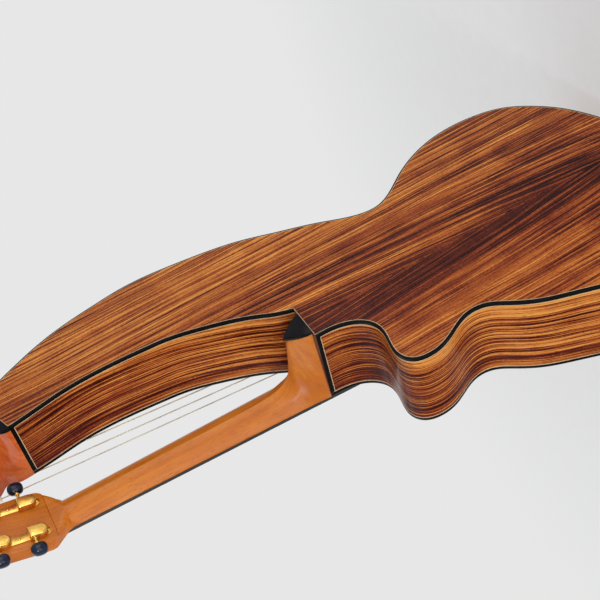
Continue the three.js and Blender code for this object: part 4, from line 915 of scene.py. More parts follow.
# Each half of the back, as a loop that ends or starts with the seam.
seam_top = np.array([0.0, BODY_Z - END_LINE])
seam = straight(np.array([0.0, outer_back[TAIL_INDEX, 1]]), seam_top, 8.0)
treble_half = [outer_back[:TAIL_INDEX], seam, straight(seam_top, outer_back[0])[1:-1]]
bass_half = [
    outer_back[TAIL_INDEX + 1 :], straight(outer_back[-1], inner_back[0])[1:-1], inner_back,
    straight(inner_back[-1], seam_top)[1:-1], seam[::-1],
]
for label, half in (("bass", bass_half), ("treble", treble_half)):
    part = plate(np.vstack(half), back_face, PLATE_THICKNESS)
    piece(f"back_{label}", part, BACK, "back_rosewood", replaces=[f"back_plate_{label}"])

# The soundboard, with its sound hole and the rings let in round it.
HOLE_Z = BODY_Z - 143.0
HOLE_RADIUS = 49.0
hole = round_ring(around(96), 0.0, HOLE_RADIUS)[:, [0, 2]] + [0, HOLE_Z]
front_loop = whole_edge.inset(PLATE_INSET)
piece(
    "soundboard_top", plate(front_loop, PLATE_THICKNESS, PLATE_THICKNESS, hole, 25.0),
    TOP, "soundboard_spruce", replaces=["soundboard"],
)
for name, inner, outer, y0, y1, material in (
    ("rosette_inner_line", 53.0, 53.8, -0.03, 0.6, BINDING),
    ("rosette_inner_pale", 53.8, 54.6, -0.03, 0.6, PALE),
    ("rosette_band", 54.6, 60.4, -0.03, 0.6, BACK),
    ("rosette_outer_pale", 60.4, 61.2, -0.03, 0.6, PALE),
    ("rosette_outer_line", 61.2, 62.0, -0.03, 0.6, BINDING),
    ("hole_binding", HOLE_RADIUS - 0.05, HOLE_RADIUS + 1.2, -0.04, 2.85, BINDING),
):
    flat = lathe([(inner, y0), (outer, y0), (outer, y1), (inner, y1)], 128, hollow=True)
    piece(name, shifted(flat, 0, 0, HOLE_Z), material, "binding")

# ---------------------------------------------------------------- neck and heel

CAP_LOW = HEEL_DEPTH - 3.0
HEEL_WIDTH = 56.0
HEEL_NARROWING = 17.0
ARCH_POWER = 1.6
SHAFT_POWER = 1.5


def neck_half(z):
    return (NUT_WIDTH + NECK_GAIN * (z / BODY_Z)) / 2


def ridge(y, projection, sweep_length, sweep_depth, back_y):
    """How far a heel's ridge reaches at the height y. It sweeps out towards back_y."""
    rise = np.clip((back_y + sweep_depth - y) / sweep_depth, 0, 1)
    return projection + sweep_length * (1 - np.sqrt(np.maximum(1 - rise * rise, 0)))


def smooth_max(a, b, k):
    h = np.maximum(k - np.abs(a - b), 0) / k
    return np.maximum(a, b) + h * h * k / 4


def neck_width(y, z):
    """Half width of the neck and heel at a height and a place. Below 0 is outside."""
    s = z - BODY_Z
    depth = NECK_DEPTH + (FLARE_DEPTH - NECK_DEPTH) * np.clip(s / (FLARE_Z - BODY_Z), 0, 1)
    t = np.clip(y / depth, 0, None)
    inside = neck_half(z) * np.maximum(1 - t**SHAFT_POWER, 0) ** (1 / SHAFT_POWER)
    shaft = np.where(t <= 1, inside, -2.2 * (y - depth))
    reach = ridge(y, HEEL_REACH, sweep_length=50.0, sweep_depth=35.0, back_y=18.0)
    half = (HEEL_WIDTH - HEEL_NARROWING * y / HEEL_DEPTH) / 2
    q = s / reach
    heel = np.where(q <= 1, half * (1 - np.clip(q, 0, 1) ** ARCH_POWER), -1.2 * (s - reach))
    return smooth_max(shaft, heel, 3.0 + 12.0 * np.clip((y - 5.0) / 12.0, 0, 1))


def neck_ring(z):
    y = np.linspace(0, CAP_LOW - CAP_SLOPE * (z - BODY_Z), 900)
    w = neck_width(y, z)
    outside = np.nonzero(w <= 0)[0]
    if len(outside):
        k = outside[0]
        share = w[k - 1] / (w[k - 1] - w[k])
        top_y = y[k - 1] + share * (y[k] - y[k - 1])
        y, w = np.append(y[:k], top_y), np.append(w[:k], 0.0)
    side = resampled(np.stack([w, y], 1), 44)
    top = np.linspace(side[-1], [0, side[-1, 1]], 8)[1:]
    return lifted(mirrored(np.vstack([side, top])), z)


def eased(rings, rounds=40):
    """The rings with the creases between neck and heel worn smooth. The cap's seat, the end at the
    body and the front edges stay."""
    p = np.array(rings)
    y, order = p[:, :, 1], np.arange(len(p))[:, None]
    keep = np.clip((CAP_LOW - 3.0 - y) / 14.0, 0, 1) * np.clip((y - 2.0) / 6.0, 0, 1)
    ends = np.clip(order / 5.0, 0, 1) * np.clip((len(p) - 1 - order) / 4.0, 0, 1)
    keep = (keep * ends)[:, :, None]
    for _ in range(rounds):
        near = np.roll(p, 1, 1) + np.roll(p, -1, 1)
        near[1:-1] += p[:-2] + p[2:]
        near[[0, -1]] += 2 * p[[0, -1]]
        p += keep * 0.5 * (near / 4 - p)
    return list(p)


# How far the neck has widened and squared up at shares of its flare into the headstock.
FLARE_AT = [0, 0.28, 0.53, 0.8, 1]
FLARE_WIDE = [0, 0.14, 0.45, 0.76, 1]
FLARE_SQUARE = [0, 0.12, 0.3, 0.6, 1]
HEAD_PIVOT = 5.6
HEAD_START = 35.5


def flare_ring(t):
    z = FLARE_Z + (HEAD_PIVOT - FLARE_Z) * t
    start = neck_half(FLARE_Z)
    half = start + (HEAD_START - start) * np.interp(t, FLARE_AT, FLARE_WIDE)
    depth = FLARE_DEPTH + 0.6 * t
    power = SHAFT_POWER + 12.5 * np.interp(t, FLARE_AT, FLARE_SQUARE)
    tilt = HEAD_TILT * t
    near_back = 0.9 + 0.1 * (1 - np.linspace(1, 0, 300) ** 3)
    share = np.concatenate([np.linspace(0, 0.9, 300), near_back])
    curve = np.stack([half * np.maximum(1 - share**power, 0) ** (1 / power), depth * share], 1)
    side = resampled(curve, 44)
    x, y = mirrored(np.vstack([side, np.repeat(side[-1:], 7, 0)])).T
    return np.stack([x, y * math.cos(tilt), z - y * math.sin(tilt)], 1)


def grown(ring, by):
    """A neck section with its outline moved out. Its straight front edge stays."""
    p = ring[:, :2]
    n = unit(np.gradient(p, axis=0))[:, ::-1] * [1, -1]
    out = np.column_stack([p + n * by, ring[:, 2]])
    out[:, 1] = np.clip(out[:, 1], 0.1, None)
    return out


stations = np.concatenate([
    np.linspace(0.3, 31.0, 26), np.linspace(32.0, 84.0, 40),
    np.linspace(88.0, FLARE_Z - BODY_Z, 26),
]) + BODY_Z
rings = eased([neck_ring(z) for z in stations]) + [flare_ring(t) for t in np.linspace(0, 1, 22)[1:]]
piece("neck_shaft", tube_of(rings), NECK, "neck_mahogany", replaces=["neck"], angle=50)

# The thin dark red strip round the heel's foot, at the body: each section's distance from the body
# and how far it stands out.
HEEL_STRIP_STEPS = (0.3, 0.0), (0.32, 0.06), (1.5, 0.06), (1.55, -0.3)
heel_strip_rings = [grown(neck_ring(BODY_Z + z), by) for z, by in HEEL_STRIP_STEPS]
piece("heel_dark_strip", tube_of(heel_strip_rings), HEEL_STRIP_FINISH, "neck_mahogany")

AT_HEEL = spot(0, 0, BODY_Z)
AT_HEAD = spot(0, 0, HEAD_PIVOT, -HEAD_TILT)
AT_ARM = spot(arm_middle[0], 0, arm_middle[1], ARM_END_TILT, "Y")
AT_HARP_NUT = spot(HARP_MIDDLE_X, 0, HARP_NUT_Z, -HARP_LEAN, "Y")
AT_HARP = AT_HARP_NUT @ spot(0, FIT, 5.0, -HARP_TILT)

# A head's side from its nut to its tip, as shares of its half width and length.
HEAD_SIDE = [
    (0.94, 0.02), (0.985, 0.045), (1, 0.085), (0.99, 0.25), (0.93, 0.6), (0.885, 0.88),
    (0.84, 0.95), (0.73, 0.985), (0.4, 1), (0, 0.985),
]
HARP_SIDE = [
    (0.97, 0.05), (1, 0.13), (1, 0.35), (0.96, 0.6), (0.87, 0.8), (0.72, 0.93), (0.4, 0.99), (0, 1),
]
HEAD_CORNER = 7
right = [(HEAD_START, 0.0)] + [(a * HEAD_HALF, b * HEAD_LENGTH) for a, b in HEAD_SIDE]
flank = resampled(cubic(right[: HEAD_CORNER + 1], 0.5), 60)
crown = resampled(cubic(right[HEAD_CORNER:], 0.5), 24)
head_loop = mirrored(np.vstack([flank, crown[1:]]))
head = rounded_prism(head_loop, 0.0, HEAD_THICKNESS, 0.0, 1.1)
piece("headstock", posed(head, AT_HEAD), NECK, "neck_mahogany", replaces=["neck"])
veneer = rounded_prism(inset_loop(head_loop, 0.05), -0.28, 0.05, 0.2, 0.0, steps=2)
piece("headstock_veneer", posed(veneer, AT_HEAD), EBONY, "ebony")


def arch_loop(half, reach):
    """Half width across, reach out: a pointed arch on a straight base."""
    out = np.sin(np.linspace(0, QUARTER, 40))
    return mirrored(np.stack([half * (1 - out**ARCH_POWER), reach * out], 1))


def sloped_cap(half, reach, top_y, place):
    """A heel's cap, which slopes down away from the body."""
    verts, faces = rounded_prism(arch_loop(half, reach), top_y - CAP_THICKNESS, top_y, 0.0, 0.5)
    verts[:, 1] -= CAP_SLOPE * verts[:, 2]
    return turned(verts + [0, 0, FIT], place), faces


# ---------------------------------------------------------------- harp head

ARM_BACK_Y = back_face(arm_middle[0], arm_middle[1]) - ARM_END_WIDTH / 2 * BACK_TAPER
ARM_HALF = ARM_END_WIDTH / 2 - 0.4
HARP_NUT_HALF = 41.0


def harp_heel():
    """The heel at the arm's end, which runs 3 mm into the arm and is cut off there."""
    rings = []
    for y in np.linspace(0.0, ARM_BACK_Y + 8.0, 60):
        reach = ridge(y, HARP_HEEL_REACH, sweep_length=24.0, sweep_depth=40.0, back_y=16.0)
        p = arch_loop(ARM_HALF, float(reach))
        rings.append(raised(np.vstack([p[0] - [0, 3.0], p, p[-1] - [0, 3.0]]), y))
    return tube_of(rings)


def harp_throat():
    """What joins the arm's end to the head: an outline from the arm's corners to the harp nut."""
    def above(corner, across, share):
        return corner[0] + across * ARM_END_WIDTH, corner[1] + share * (HARP_NUT_Z - corner[1])

    def nut_end(half, rise):
        c, s = math.cos(HARP_LEAN), math.sin(HARP_LEAN)
        return HARP_MIDDLE_X + half * c - rise * s, HARP_NUT_Z + half * s + rise * c

    inner = arm_inner_corner + arm_end_way * 0.4
    outer = arm_outer_corner - arm_end_way * 0.4
    treble_steps = (0.015, 0.37), (-0.015, 0.6), (-0.05, 0.76), (0.015, 0.91)
    treble = [inner, *(above(arm_inner_corner, a, b) for a, b in treble_steps)]
    treble += [nut_end(HARP_NUT_HALF, 0), nut_end(HARP_NUT_HALF, 7)]
    bass = [nut_end(-HARP_NUT_HALF, 7), nut_end(-HARP_NUT_HALF, 0)]
    bass += [above(arm_outer_corner, a, b) for a, b in ((0.01, 0.6), (0, 0.25))] + [outer]
    flanks = [resampled(cubic(points, 0.5), 40) for points in (treble, bass)]
    loop = np.vstack([[inner - arm_end_out * 3], *flanks, [outer - arm_end_out * 3]])
    return rounded_prism(loop, -4.0, 16.3)


harp_side = [(HARP_NUT_HALF, -0.3)] + [(a * HARP_HALF, b * HARP_LENGTH) for a, b in HARP_SIDE]
harp_loop = mirrored(resampled(cubic(harp_side, 0.5), 80))


def remeshed(name, parts, voxel, rounds):
    """One skin round several closed meshes, with its edges softened."""
    mesh = mesh_of(name, merged(parts))
    cleaned(mesh)
    made = linked(name, mesh)
    modifier = made.modifiers.new("remesh", "REMESH")
    modifier.mode = "VOXEL"
    modifier.voxel_size = voxel * MM
    modifier.use_smooth_shade = True
    soften = made.modifiers.new("soften", "SMOOTH")
    soften.factor = 0.5
    soften.iterations = rounds
    depsgraph = bpy.context.evaluated_depsgraph_get()
    result = bpy.data.meshes.new_from_object(made.evaluated_get(depsgraph))
    bpy.data.objects.remove(made)
    return result


def slice_off(mesh, cuts):
    """Cuts flat faces into a mesh. A cut is a point in mm and the way that is taken off."""
    work = bmesh.new()
    work.from_mesh(mesh)
    for point, way in cuts:
        found = bmesh.ops.bisect_plane(
            work, geom=work.verts[:] + work.edges[:] + work.faces[:], dist=1e-7,
            plane_co=Vector(point) * MM, plane_no=Vector(way), clear_outer=True,
        )
        rim = [e for e in found["geom_cut"] if isinstance(e, bmesh.types.BMEdge)]
        bmesh.ops.holes_fill(work, edges=rim)
    bmesh.ops.recalc_face_normals(work, faces=work.faces)
    work.to_mesh(mesh)
    work.free()


head = posed(rounded_prism(harp_loop, 0.0, HARP_THICKNESS), AT_HARP)
skin = remeshed("harp_skin", [posed(harp_heel(), AT_ARM), harp_throat(), head], 1.0, 7)
arm_turn = AT_ARM.to_3x3()
cap_way = arm_turn @ Vector((0, 1, CAP_SLOPE)).normalized()
slice_off(skin, [
    (turned([[0, ARM_BACK_Y - 3.1, 0]], AT_ARM)[0], cap_way),
    (turned([[0, 0, FIT]], AT_ARM)[0], -(arm_turn @ Vector((0, 0, 1)))),
    ((0, 0.25, 0), (0, -1, 0)),
])
shown("harp_head_body", skin, RED, "harp_head_mahogany", replaces=["harp_head"], angle=50)
for name, half, reach, top_y, place, node in (
    ("heel_cap_plate", 19.5, HEEL_REACH, HEEL_DEPTH, AT_HEEL, "heel_cap"),
    ("harp_cap_plate", ARM_HALF, HARP_HEEL_REACH, ARM_BACK_Y, AT_ARM, "harp_head_cap"),
):
    piece(name, sloped_cap(half, reach, top_y, place), CAP, "ebony", replaces=[node])

# ---------------------------------------------------------------- fingerboard, nuts and bridge

FRETS = 19
BOARD_Y = -6.3
BOARD_RADIUS = 400.0
BOARD_LOW = -fret_distance(FRETS) - 6.0
FRET_RADIUS = 1.1
DOT_RADIUS = 2.6
DOT_FRETS = (3, 5, 7, 9, 12, 15, 17)


def board_y(x):
    return BOARD_Y + x * x / (2 * BOARD_RADIUS)


def board_ring(z, grow):
    """The board's section. It is smaller by grow at the two ends, which rounds their edges."""
    half = neck_half(z) - grow
    x = np.linspace(-half, half, 17)
    top = np.stack([x, board_y(x) + grow], 1)
    top[[0, -1]] += [0, 0.5]
    shoulders = [[[side * (half - 0.5), board_y(half)]] for side in (-1, 1)]
    low = [[side * half, -FIT] for side in (-1, 1)]
    loop = [low[:1], top[:1], shoulders[0], top[1:-1], shoulders[1], top[-1:], low[1:]]
    return lifted(np.vstack(loop), z)


board_stations = [BOARD_LOW, *np.linspace(BOARD_LOW + 0.6, -0.4, 24), 0.0]
board = tube_of([board_ring(z, 0.5 if z in (BOARD_LOW, 0.0) else 0.0) for z in board_stations])
piece("fingerboard_ebony", board, EBONY, "ebony", replaces=["fingerboard"])


def fret_bar(z):
    """A fret's round crown over its board, drawn in at both ends."""
    half = neck_half(z) - 0.25
    rings = []
    for x in np.linspace(-half, half, 19):
        end = min(1.0, (half - abs(x)) / 1.4 + 0.1)
        high = board_y(x) + 0.05
        a = np.linspace(math.pi, 0, 9)
        rise, run = FRET_RADIUS * end * np.sin(a), FRET_RADIUS * np.cos(a)
        crown = [(x, high - lift, z + along) for lift, along in zip(rise, run)]
        rings.append(crown + [(x, high + 0.6, z)])
    return tube_of(rings)


def fret_middle(fret):
    return -(fret_distance(fret) + fret_distance(fret - 1)) / 2


def dot(x, z):
    y = board_y(x)
    rim = (DOT_RADIUS, 0.4), (DOT_RADIUS, -0.02), (DOT_RADIUS * 0.9, -0.04), (0.01, -0.05)
    return shifted(lathe([(radius, y + rise) for radius, rise in rim], 24), x, 0, z)


bars = [fret_bar(-fret_distance(i + 1)) for i in range(FRETS)]
piece("frets", merged(bars), STEEL, "ebony", angle=50)
dots = [dot(x, fret_middle(fret)) for fret in DOT_FRETS for x in ((-9, 9) if fret == 12 else (0,))]
side_dot = lathe([(1.0, 0.5), (1.0, -0.02), (0.01, -0.05)], 16)
side_dots = []
for z in map(fret_middle, DOT_FRETS[:-1]):
    side_dots.append(posed(side_dot, spot(-neck_half(z), -3.2, z, -QUARTER, "Z")))
piece("fingerboard_dots", merged(dots), PEARL, "bone")
piece("side_dots", merged(side_dots), PEARL, "bone")

# A string: its radius, its x at the bridge and its x at the nut.
MAIN_RADII = [0.68, 0.54, 0.42, 0.32, 0.22, 0.16]
HARP_RADII = [0.74, 0.79, 0.84, 0.89, 0.94]
main_strings = [(r, (i / 5 - 0.5) * 54.0, (i / 5 - 0.5) * 37.0) for i, r in enumerate(MAIN_RADII)]
harp_strings = [(r, -39.6 - 11.2 * i, (2 - i) * 17.5) for i, r in enumerate(HARP_RADII)]
SADDLE_Z = -SCALE_LENGTH
PIN_Z = SADDLE_Z - 10
SADDLE_TOP = -11.1
BRIDGE_TOP = -8.5
NUT_TOP = -7.2 - 0.25
HARP_NUT_TOP = -9.4 - 0.25
SLOT_DEPTH = 0.7


def bar_section(x, low_z, high_z, top_y, base_y, radius):
    """A bar's section at x, over its top with both edges rounded."""
    steps = quarter(radius, 5)
    rise = [(x, top_y + b, low_z + a) for a, b in steps]
    fall = [(x, top_y + a, high_z - b) for a, b in steps]
    return [(x, base_y, low_z), *rise, *fall, (x, base_y, high_z)]


def slotted(half, low_z, high_z, top_y, base_y, places, crown=0.0):
    """A nut or saddle: a bar across x with its top rounded over, and a slot for each string."""
    stops = set(np.linspace(-half + 0.5, half - 0.5, 25).tolist())
    for x, r in places:
        stops |= {x, *(x + side * r * share for side in (-1, 1) for share in (0.6, 1.1, 1.6))}
    rings, rounding = [], min(1.3, (high_z - low_z) * 0.36)
    for x in [-half, *sorted(stops), half]:
        end = 0.5 if abs(x) >= half - 1e-6 else 0.0
        y = top_y + end + crown * (x / half) ** 2
        for place, r in places:
            share = abs(x - place) / (r * 1.3)
            if share < 1:
                y += SLOT_DEPTH * math.sqrt(1 - share * share)
        rings.append(bar_section(x, low_z + end, high_z - end, y, base_y, rounding))
    return tube_of(rings)


def nut_places(strings):
    return [(x, r) for r, _, x in strings]


nut = slotted(NUT_WIDTH / 2, 0.3, 5.3, NUT_TOP, -FIT, nut_places(main_strings))
harp_nut = slotted(HARP_NUT_HALF - FIT, 0.0, 4.7, HARP_NUT_TOP, 0.0, nut_places(harp_strings))
saddle = slotted(60.7, SADDLE_Z - 1.6, SADDLE_Z + 1.6, SADDLE_TOP, -3.8, [], crown=0.5)
for name, part in (
    ("nut", nut), ("harp_nut", posed(harp_nut, AT_HARP_NUT)),
    ("saddle", shifted(saddle, (-89.4 + 32.0) / 2, 0, 0)),
):
    piece(f"{name}_bone", part, BONE, "bone", replaces=[name], angle=40)


def bridge():
    """A bar across x, which drops and narrows towards its ends."""
    low, high = -101.4, 44.0
    middle = np.linspace(18, high - low - 18, 22)
    along = np.concatenate([[0, 0.4, 1.2], np.linspace(2.5, 14, 8), middle])
    rings = []
    for s in np.unique(np.concatenate([along, (high - low) - along])):
        near = min(s, high - low - s)
        rise = np.clip((near - 1.0) / 12.0, 0, 1)
        rise = rise * rise * (3 - 2 * rise)
        end = 0.6 * (1 - min(near, 1.2) / 1.2)
        belly = 2.2 * (1 - rise) + end
        top = BRIDGE_TOP + (1 - rise) * 4.2 + end
        rings.append(bar_section(
            low + s, SADDLE_Z - 17.0 + belly, SADDLE_Z + 9.0 - belly * 0.6, top, -FIT, 1.6,
        ))
    return tube_of(rings)


piece("bridge_ebony", bridge(), EBONY, "ebony", replaces=["bridge"], angle=40)
PIN = lathe([
    (1.9, -7.6), (1.9, -8.9), (2.9, -9.2), (3.0, -9.8), (2.7, -10.6), (2.0, -11.2), (1.0, -11.45),
    (0.01, -11.5),
], 20)
PIN_DOT = lathe([(0.9, -11.2), (0.9, -11.5), (0.5, -11.62), (0.01, -11.66)], 16)
bridge_xs = [x for _, x, _ in main_strings + harp_strings]
pins = [shifted(PIN, x, 0, PIN_Z) for x in bridge_xs]
pin_dots = [shifted(PIN_DOT, x, 0.16, PIN_Z) for x in bridge_xs]
piece("bridge_pins", merged(pins), KNOB, "ebony", angle=40)
piece("bridge_pin_dots", merged(pin_dots), PEARL, "bone")

AT_TAIL = spot(0, float(back_face(0, TAIL_Z)) / 2, TAIL_Z, QUARTER)
end_pin = lathe([
    (0.01, -9.0), (5.2, -9.0), (6.6, -8.6), (7.0, -7.7), (6.9, -6.7), (6.0, -5.6), (4.9, -4.4),
    (4.5, -3.0), (4.7, -1.2), (5.0, -0.05), (5.0, -0.02), (3.5, 0.0), (3.5, 23.5), (0.01, 24.0),
], 40)
piece("end_pin_ebony", posed(end_pin, AT_TAIL), KNOB, "ebony", replaces=["end_pin"])
end_dot = lathe([(0.01, -9.1), (2.1, -9.1), (2.3, -8.9), (2.3, -8.6), (0.01, -8.6)], 24)
piece("end_pin_dot", posed(end_dot, AT_TAIL), PEARL, "bone")

# ---------------------------------------------------------------- tuning machines
# Heights are measured from the head's back. The worm's axis is WORM_RISE above its post along z
# and WORM_Y off the head.

WORM_RISE = 9.3
WORM_Y = 4.5
GEAR_HALF = 1.6
COVER_HALF = 6.9
COVER_OVER_WORM = 3.9
STRIP_MARGIN = 12.0
SCREW_MARGIN = 3.4
POST_STEP = 42.0
SIDE_NAMES = {-1: "bass", 1: "treble"}


def solid_of(part):
    mesh = mesh_of("part", part, 1.0)
    cleaned(mesh, 1e-4)
    return linked("part", mesh)


def combined(base, steps):
    """The points and faces of a solid after unions and cuts with others."""
    first = solid_of(base)
    others = []
    for kind, part in steps:
        others.append(solid_of(part))
        modifier = first.modifiers.new(kind, "BOOLEAN")
        modifier.operation = kind
        modifier.solver = "EXACT"
        modifier.object = others[-1]
    depsgraph = bpy.context.evaluated_depsgraph_get()
    mesh = bpy.data.meshes.new_from_object(first.evaluated_get(depsgraph))
    verts = np.array([tuple(v.co) for v in mesh.vertices])
    faces = [tuple(p.vertices) for p in mesh.polygons]
    for made in [first] + others:
        bpy.data.objects.remove(made)
    return verts, faces


def cover_loop(grow, corner=2.0):
    """Round below, round the post, and square above, with rounded corners."""
    half = COVER_HALF + grow
    top = WORM_RISE + COVER_OVER_WORM + grow
    a = np.linspace(math.pi, 2 * math.pi, 18)
    arc = np.stack([half * np.cos(a), half * np.sin(a)], 1)
    c = np.linspace(0, QUARTER, 5)
    x, z = half - corner + corner * np.cos(c), top - corner + corner * np.sin(c)
    right_corner = np.stack([x, z], 1)
    return np.vstack([arc, right_corner, (right_corner * [-1, 1])[::-1]])


def axle_part(profile, count=28):
    """A turned part on the worm's axis, which runs along +X."""
    return posed(lathe(profile, count), spot(0, WORM_Y, WORM_RISE, -QUARTER, "Z"))


# The cover is a shell over the gear and the worm.
COVER = combined(
    rounded_prism(cover_loop(1.2), FIT, 9.6, 0.0, 2.6, steps=5),
    [
        ("DIFFERENCE", rounded_prism(cover_loop(0.0, corner=1.2), -1.0, 8.4, 0.0, 1.5, steps=3)),
        ("UNION", axle_part([(0.01, 6.2), (3.0, 6.2), (3.0, 8.6), (2.7, 8.9), (0.01, 8.9)])),
        ("DIFFERENCE", axle_part([(0.01, 5.0), (1.85, 5.0), (1.85, 10.0), (0.01, 10.0)], 20)),
    ],
)


def screw(radius=1.9):
    """A domed screw head with a cross slot."""
    dome = [(1, 0.0), (1, 0.35), (0.86, 0.75), (0.55, 1.0)]
    cuts = []
    for w, h in ((radius * 0.62, 0.22), (0.22, radius * 0.62)):
        cuts.append(("DIFFERENCE", rounded_prism([(w, h), (-w, h), (-w, -h), (w, -h)], 0.65, 2.0)))
    return combined(lathe([(radius * share, y) for share, y in dome] + [(0.01, 1.08)], 20), cuts)


def strip_loop(low_z, high_z, half=6.0):
    """A strip with round ends."""
    a = np.linspace(math.pi, 2 * math.pi, 17)
    low_end = np.stack([half * np.cos(a), low_z + half + half * np.sin(a)], 1)
    high_end = np.stack([-half * np.cos(a), high_z - half - half * np.sin(a)], 1)
    return np.vstack([low_end, high_end])


def knob_shape(power=2.6):
    """An oval button, thicker in the middle, with a flattened rim."""
    rings = []
    a = around(40)
    k = (np.abs(np.cos(a)) ** power + np.abs(np.sin(a)) ** power) ** (-1 / power)
    for t in np.linspace(0, math.pi, 25)[1:-1]:
        s = math.copysign(abs(math.cos(t)) ** 0.86, -math.cos(t))
        wide = math.sin(t) ** 0.72 * (1.0 - 0.22 * math.exp(-((s + 1.0) / 0.22) ** 2))
        rings.append(round_ring(a, 26.2 + 7.6 * s, wide * k) * [7.0, 1, 9.4])
    return tube_of(rings)


SHAFT_PROFILE = [
    (0.01, -5.5), (2.2, -5.5), (3.0, -4.9), (3.0, 4.9), (2.2, 5.5), (1.55, 5.5), (1.55, 9.4),
    (2.3, 9.5), (2.5, 9.9), (2.3, 10.3), (1.6, 10.5), (1.55, 14.9), (2.5, 15.2), (2.8, 15.9),
    (2.8, 17.8), (2.4, 18.6), (2.0, 19.5), (0.01, 19.6),
]


def worm_shaft():
    """The button's shaft, with the worm's thread cut round its inner end."""
    a = around(28)
    heights = [y + i * 1e-6 for i, (_, y) in enumerate(SHAFT_PROFILE)]
    rings = []
    for y in np.concatenate([np.linspace(-5.5, 5.5, 67), np.linspace(5.6, 19.6, 60)]):
        r = np.interp(y, heights, [r for r, _ in SHAFT_PROFILE])
        cut = 0.45 * (0.5 + 0.5 * np.cos(a - 2 * math.pi * y / 2.2)) if abs(y) < 4.9 else 0.0
        rings.append(round_ring(a, y, r - cut))
    return tube_of(rings)


def gear_wheel(y0, y1, radius=5.95, teeth=16):
    a = around(teeth * 6)
    r = radius - 0.75 * (0.5 - 0.5 * np.tanh(2.2 * np.cos(teeth * a)))
    levels = (0.94, y0), (1.0, y0 + 0.25), (1.0, y1 - 0.25), (0.94, y1)
    return tube_of([round_ring(a, y, r * s) for s, y in levels])


def post_parts(thickness):
    """A post with its waist for the string in front of the head, and its gear behind."""
    gear = thickness + WORM_Y - GEAR_HALF
    profile = [
        (0.01, -12.6), (1.1, -12.65), (1.7, -12.95), (2.4, -13.0), (2.85, -12.7), (3.0, -12.2),
        (3.0, -9.6), (2.7, -9.1), (2.4, -8.6), (2.35, -7.0), (2.4, -5.4), (2.7, -4.9), (3.0, -4.4),
        (3.0, gear + 0.2), (0.01, gear + 0.2),
    ]
    return merged([lathe(profile, 32), gear_wheel(gear, gear + 2 * GEAR_HALF)])


SCREW = screw()
KNOB_SHAPE = knob_shape()
SHAFT = worm_shaft()
BUSHING = lathe([
    (3.25, -0.27), (5.3, -0.27), (5.5, -0.5), (5.3, -0.85), (4.4, -1.1), (4.1, -2.0),
    (3.7, -2.3), (3.25, -2.2),
], 36, hollow=True)


def tuners(prefix, places, thickness, place):
    """A head's machines. A place is its side, its x and its height along the head."""
    def gold(name, part, at=place, **how):
        piece(f"{prefix}_{name}", posed(part, at), GOLD, "gold_metal", angle=40, **how)

    back = thickness + FIT
    for side, label in SIDE_NAMES.items():
        row = [rise for where, _, rise in places if where == side]
        x = next(x for where, x, _ in places if where == side)
        low, high = row[0] - STRIP_MARGIN, row[-1] + WORM_RISE + STRIP_MARGIN
        cover = posed(COVER, Matrix.Scale(side, 4, (1, 0, 0)))
        strip = strip_loop(low, high) + [x, 0]
        parts = [rounded_prism(strip, back, back + 1.0, 0.0, 0.35, steps=2)]
        parts += [shifted(cover, x, thickness, rise) for rise in row]
        gold(f"gear_covers_{label}", merged(parts), replaces=[f"{prefix}_tuner_plate_{label}"])
        screws = [low + SCREW_MARGIN, high - SCREW_MARGIN]
        screws += [(a + WORM_RISE + b) / 2 - 0.2 for a, b in zip(row, row[1:])]
        gold(f"plate_screws_{label}", merged([shifted(SCREW, x, back + 0.95, z) for z in screws]))
        gold(f"bushings_{label}", merged([shifted(BUSHING, x, 0, rise) for rise in row]))
        for i, rise in enumerate(row):
            post, knob = [f"{prefix}_{kind}_{label}_{i + 1}" for kind in ("post", "button")]
            at = place @ Matrix.Translation((x, 0, rise))
            gold(
                f"post_{label}_{i + 1}_turned", post_parts(thickness), at,
                body=post, replaces=[post],
            )
            axis = place @ Matrix.Translation((x, thickness + WORM_Y, rise + WORM_RISE))
            axis = axis @ Matrix.Rotation(-side * QUARTER, 4, "Z")
            piece(
                f"{knob}_knob", posed(KNOB_SHAPE, axis), KNOB, "button_black",
                body=knob, replaces=[knob], angle=60,
            )
            gold(f"button_{label}_{i + 1}_shaft", SHAFT, axis, body=knob, replaces=[knob])


def post_rows(half, first, counts):
    x = half - 16.5
    rows = zip(SIDE_NAMES, counts)
    return [(side, side * x, first + POST_STEP * i) for side, n in rows for i in range(n)]


main_posts = post_rows(HEAD_HALF, 17.0, (3, 3))
harp_posts = post_rows(HARP_HALF, 24.0, (3, 2))
tuners("head", main_posts, HEAD_THICKNESS, AT_HEAD)
tuners("harp", harp_posts, HARP_THICKNESS, AT_HARP)

# ---------------------------------------------------------------- strings

WAIST_RADIUS = 2.4
CLEARANCE = 0.05


def wraps(radius, turns, wire, side, start=-8.4):
    """Turns of a string round a post's waist, on its own axis."""
    count = int(turns * 28)
    path = []
    for i in range(count + 1):
        a = math.pi * (0 if side < 0 else 1) + 2 * math.pi * turns * i / count * side
        y = start + wire * 2 * turns * i / count
        path.append((radius * math.cos(a), y, radius * math.sin(a)))
    return path


def wire_tube(path, radius, sides=10):
    """A round wire along a path, with its uv."""
    p = np.array(path, float)
    along = unit(np.gradient(p, axis=0))
    side = unit(np.cross(along[0], [0.3, 1.0, 0.2]))
    rings = []
    a = around(sides)
    for point, way in zip(p, along):
        side = unit(side - way * np.dot(side, way))
        across = np.outer(np.cos(a), side) + np.outer(np.sin(a), np.cross(way, side))
        rings.append(point + radius * across)
    uv = [np.stack([np.full(sides, s), a * 1000 / (2 * math.pi)], 1) for s in lengths(p)]
    return tube_of(rings), np.vstack(uv)


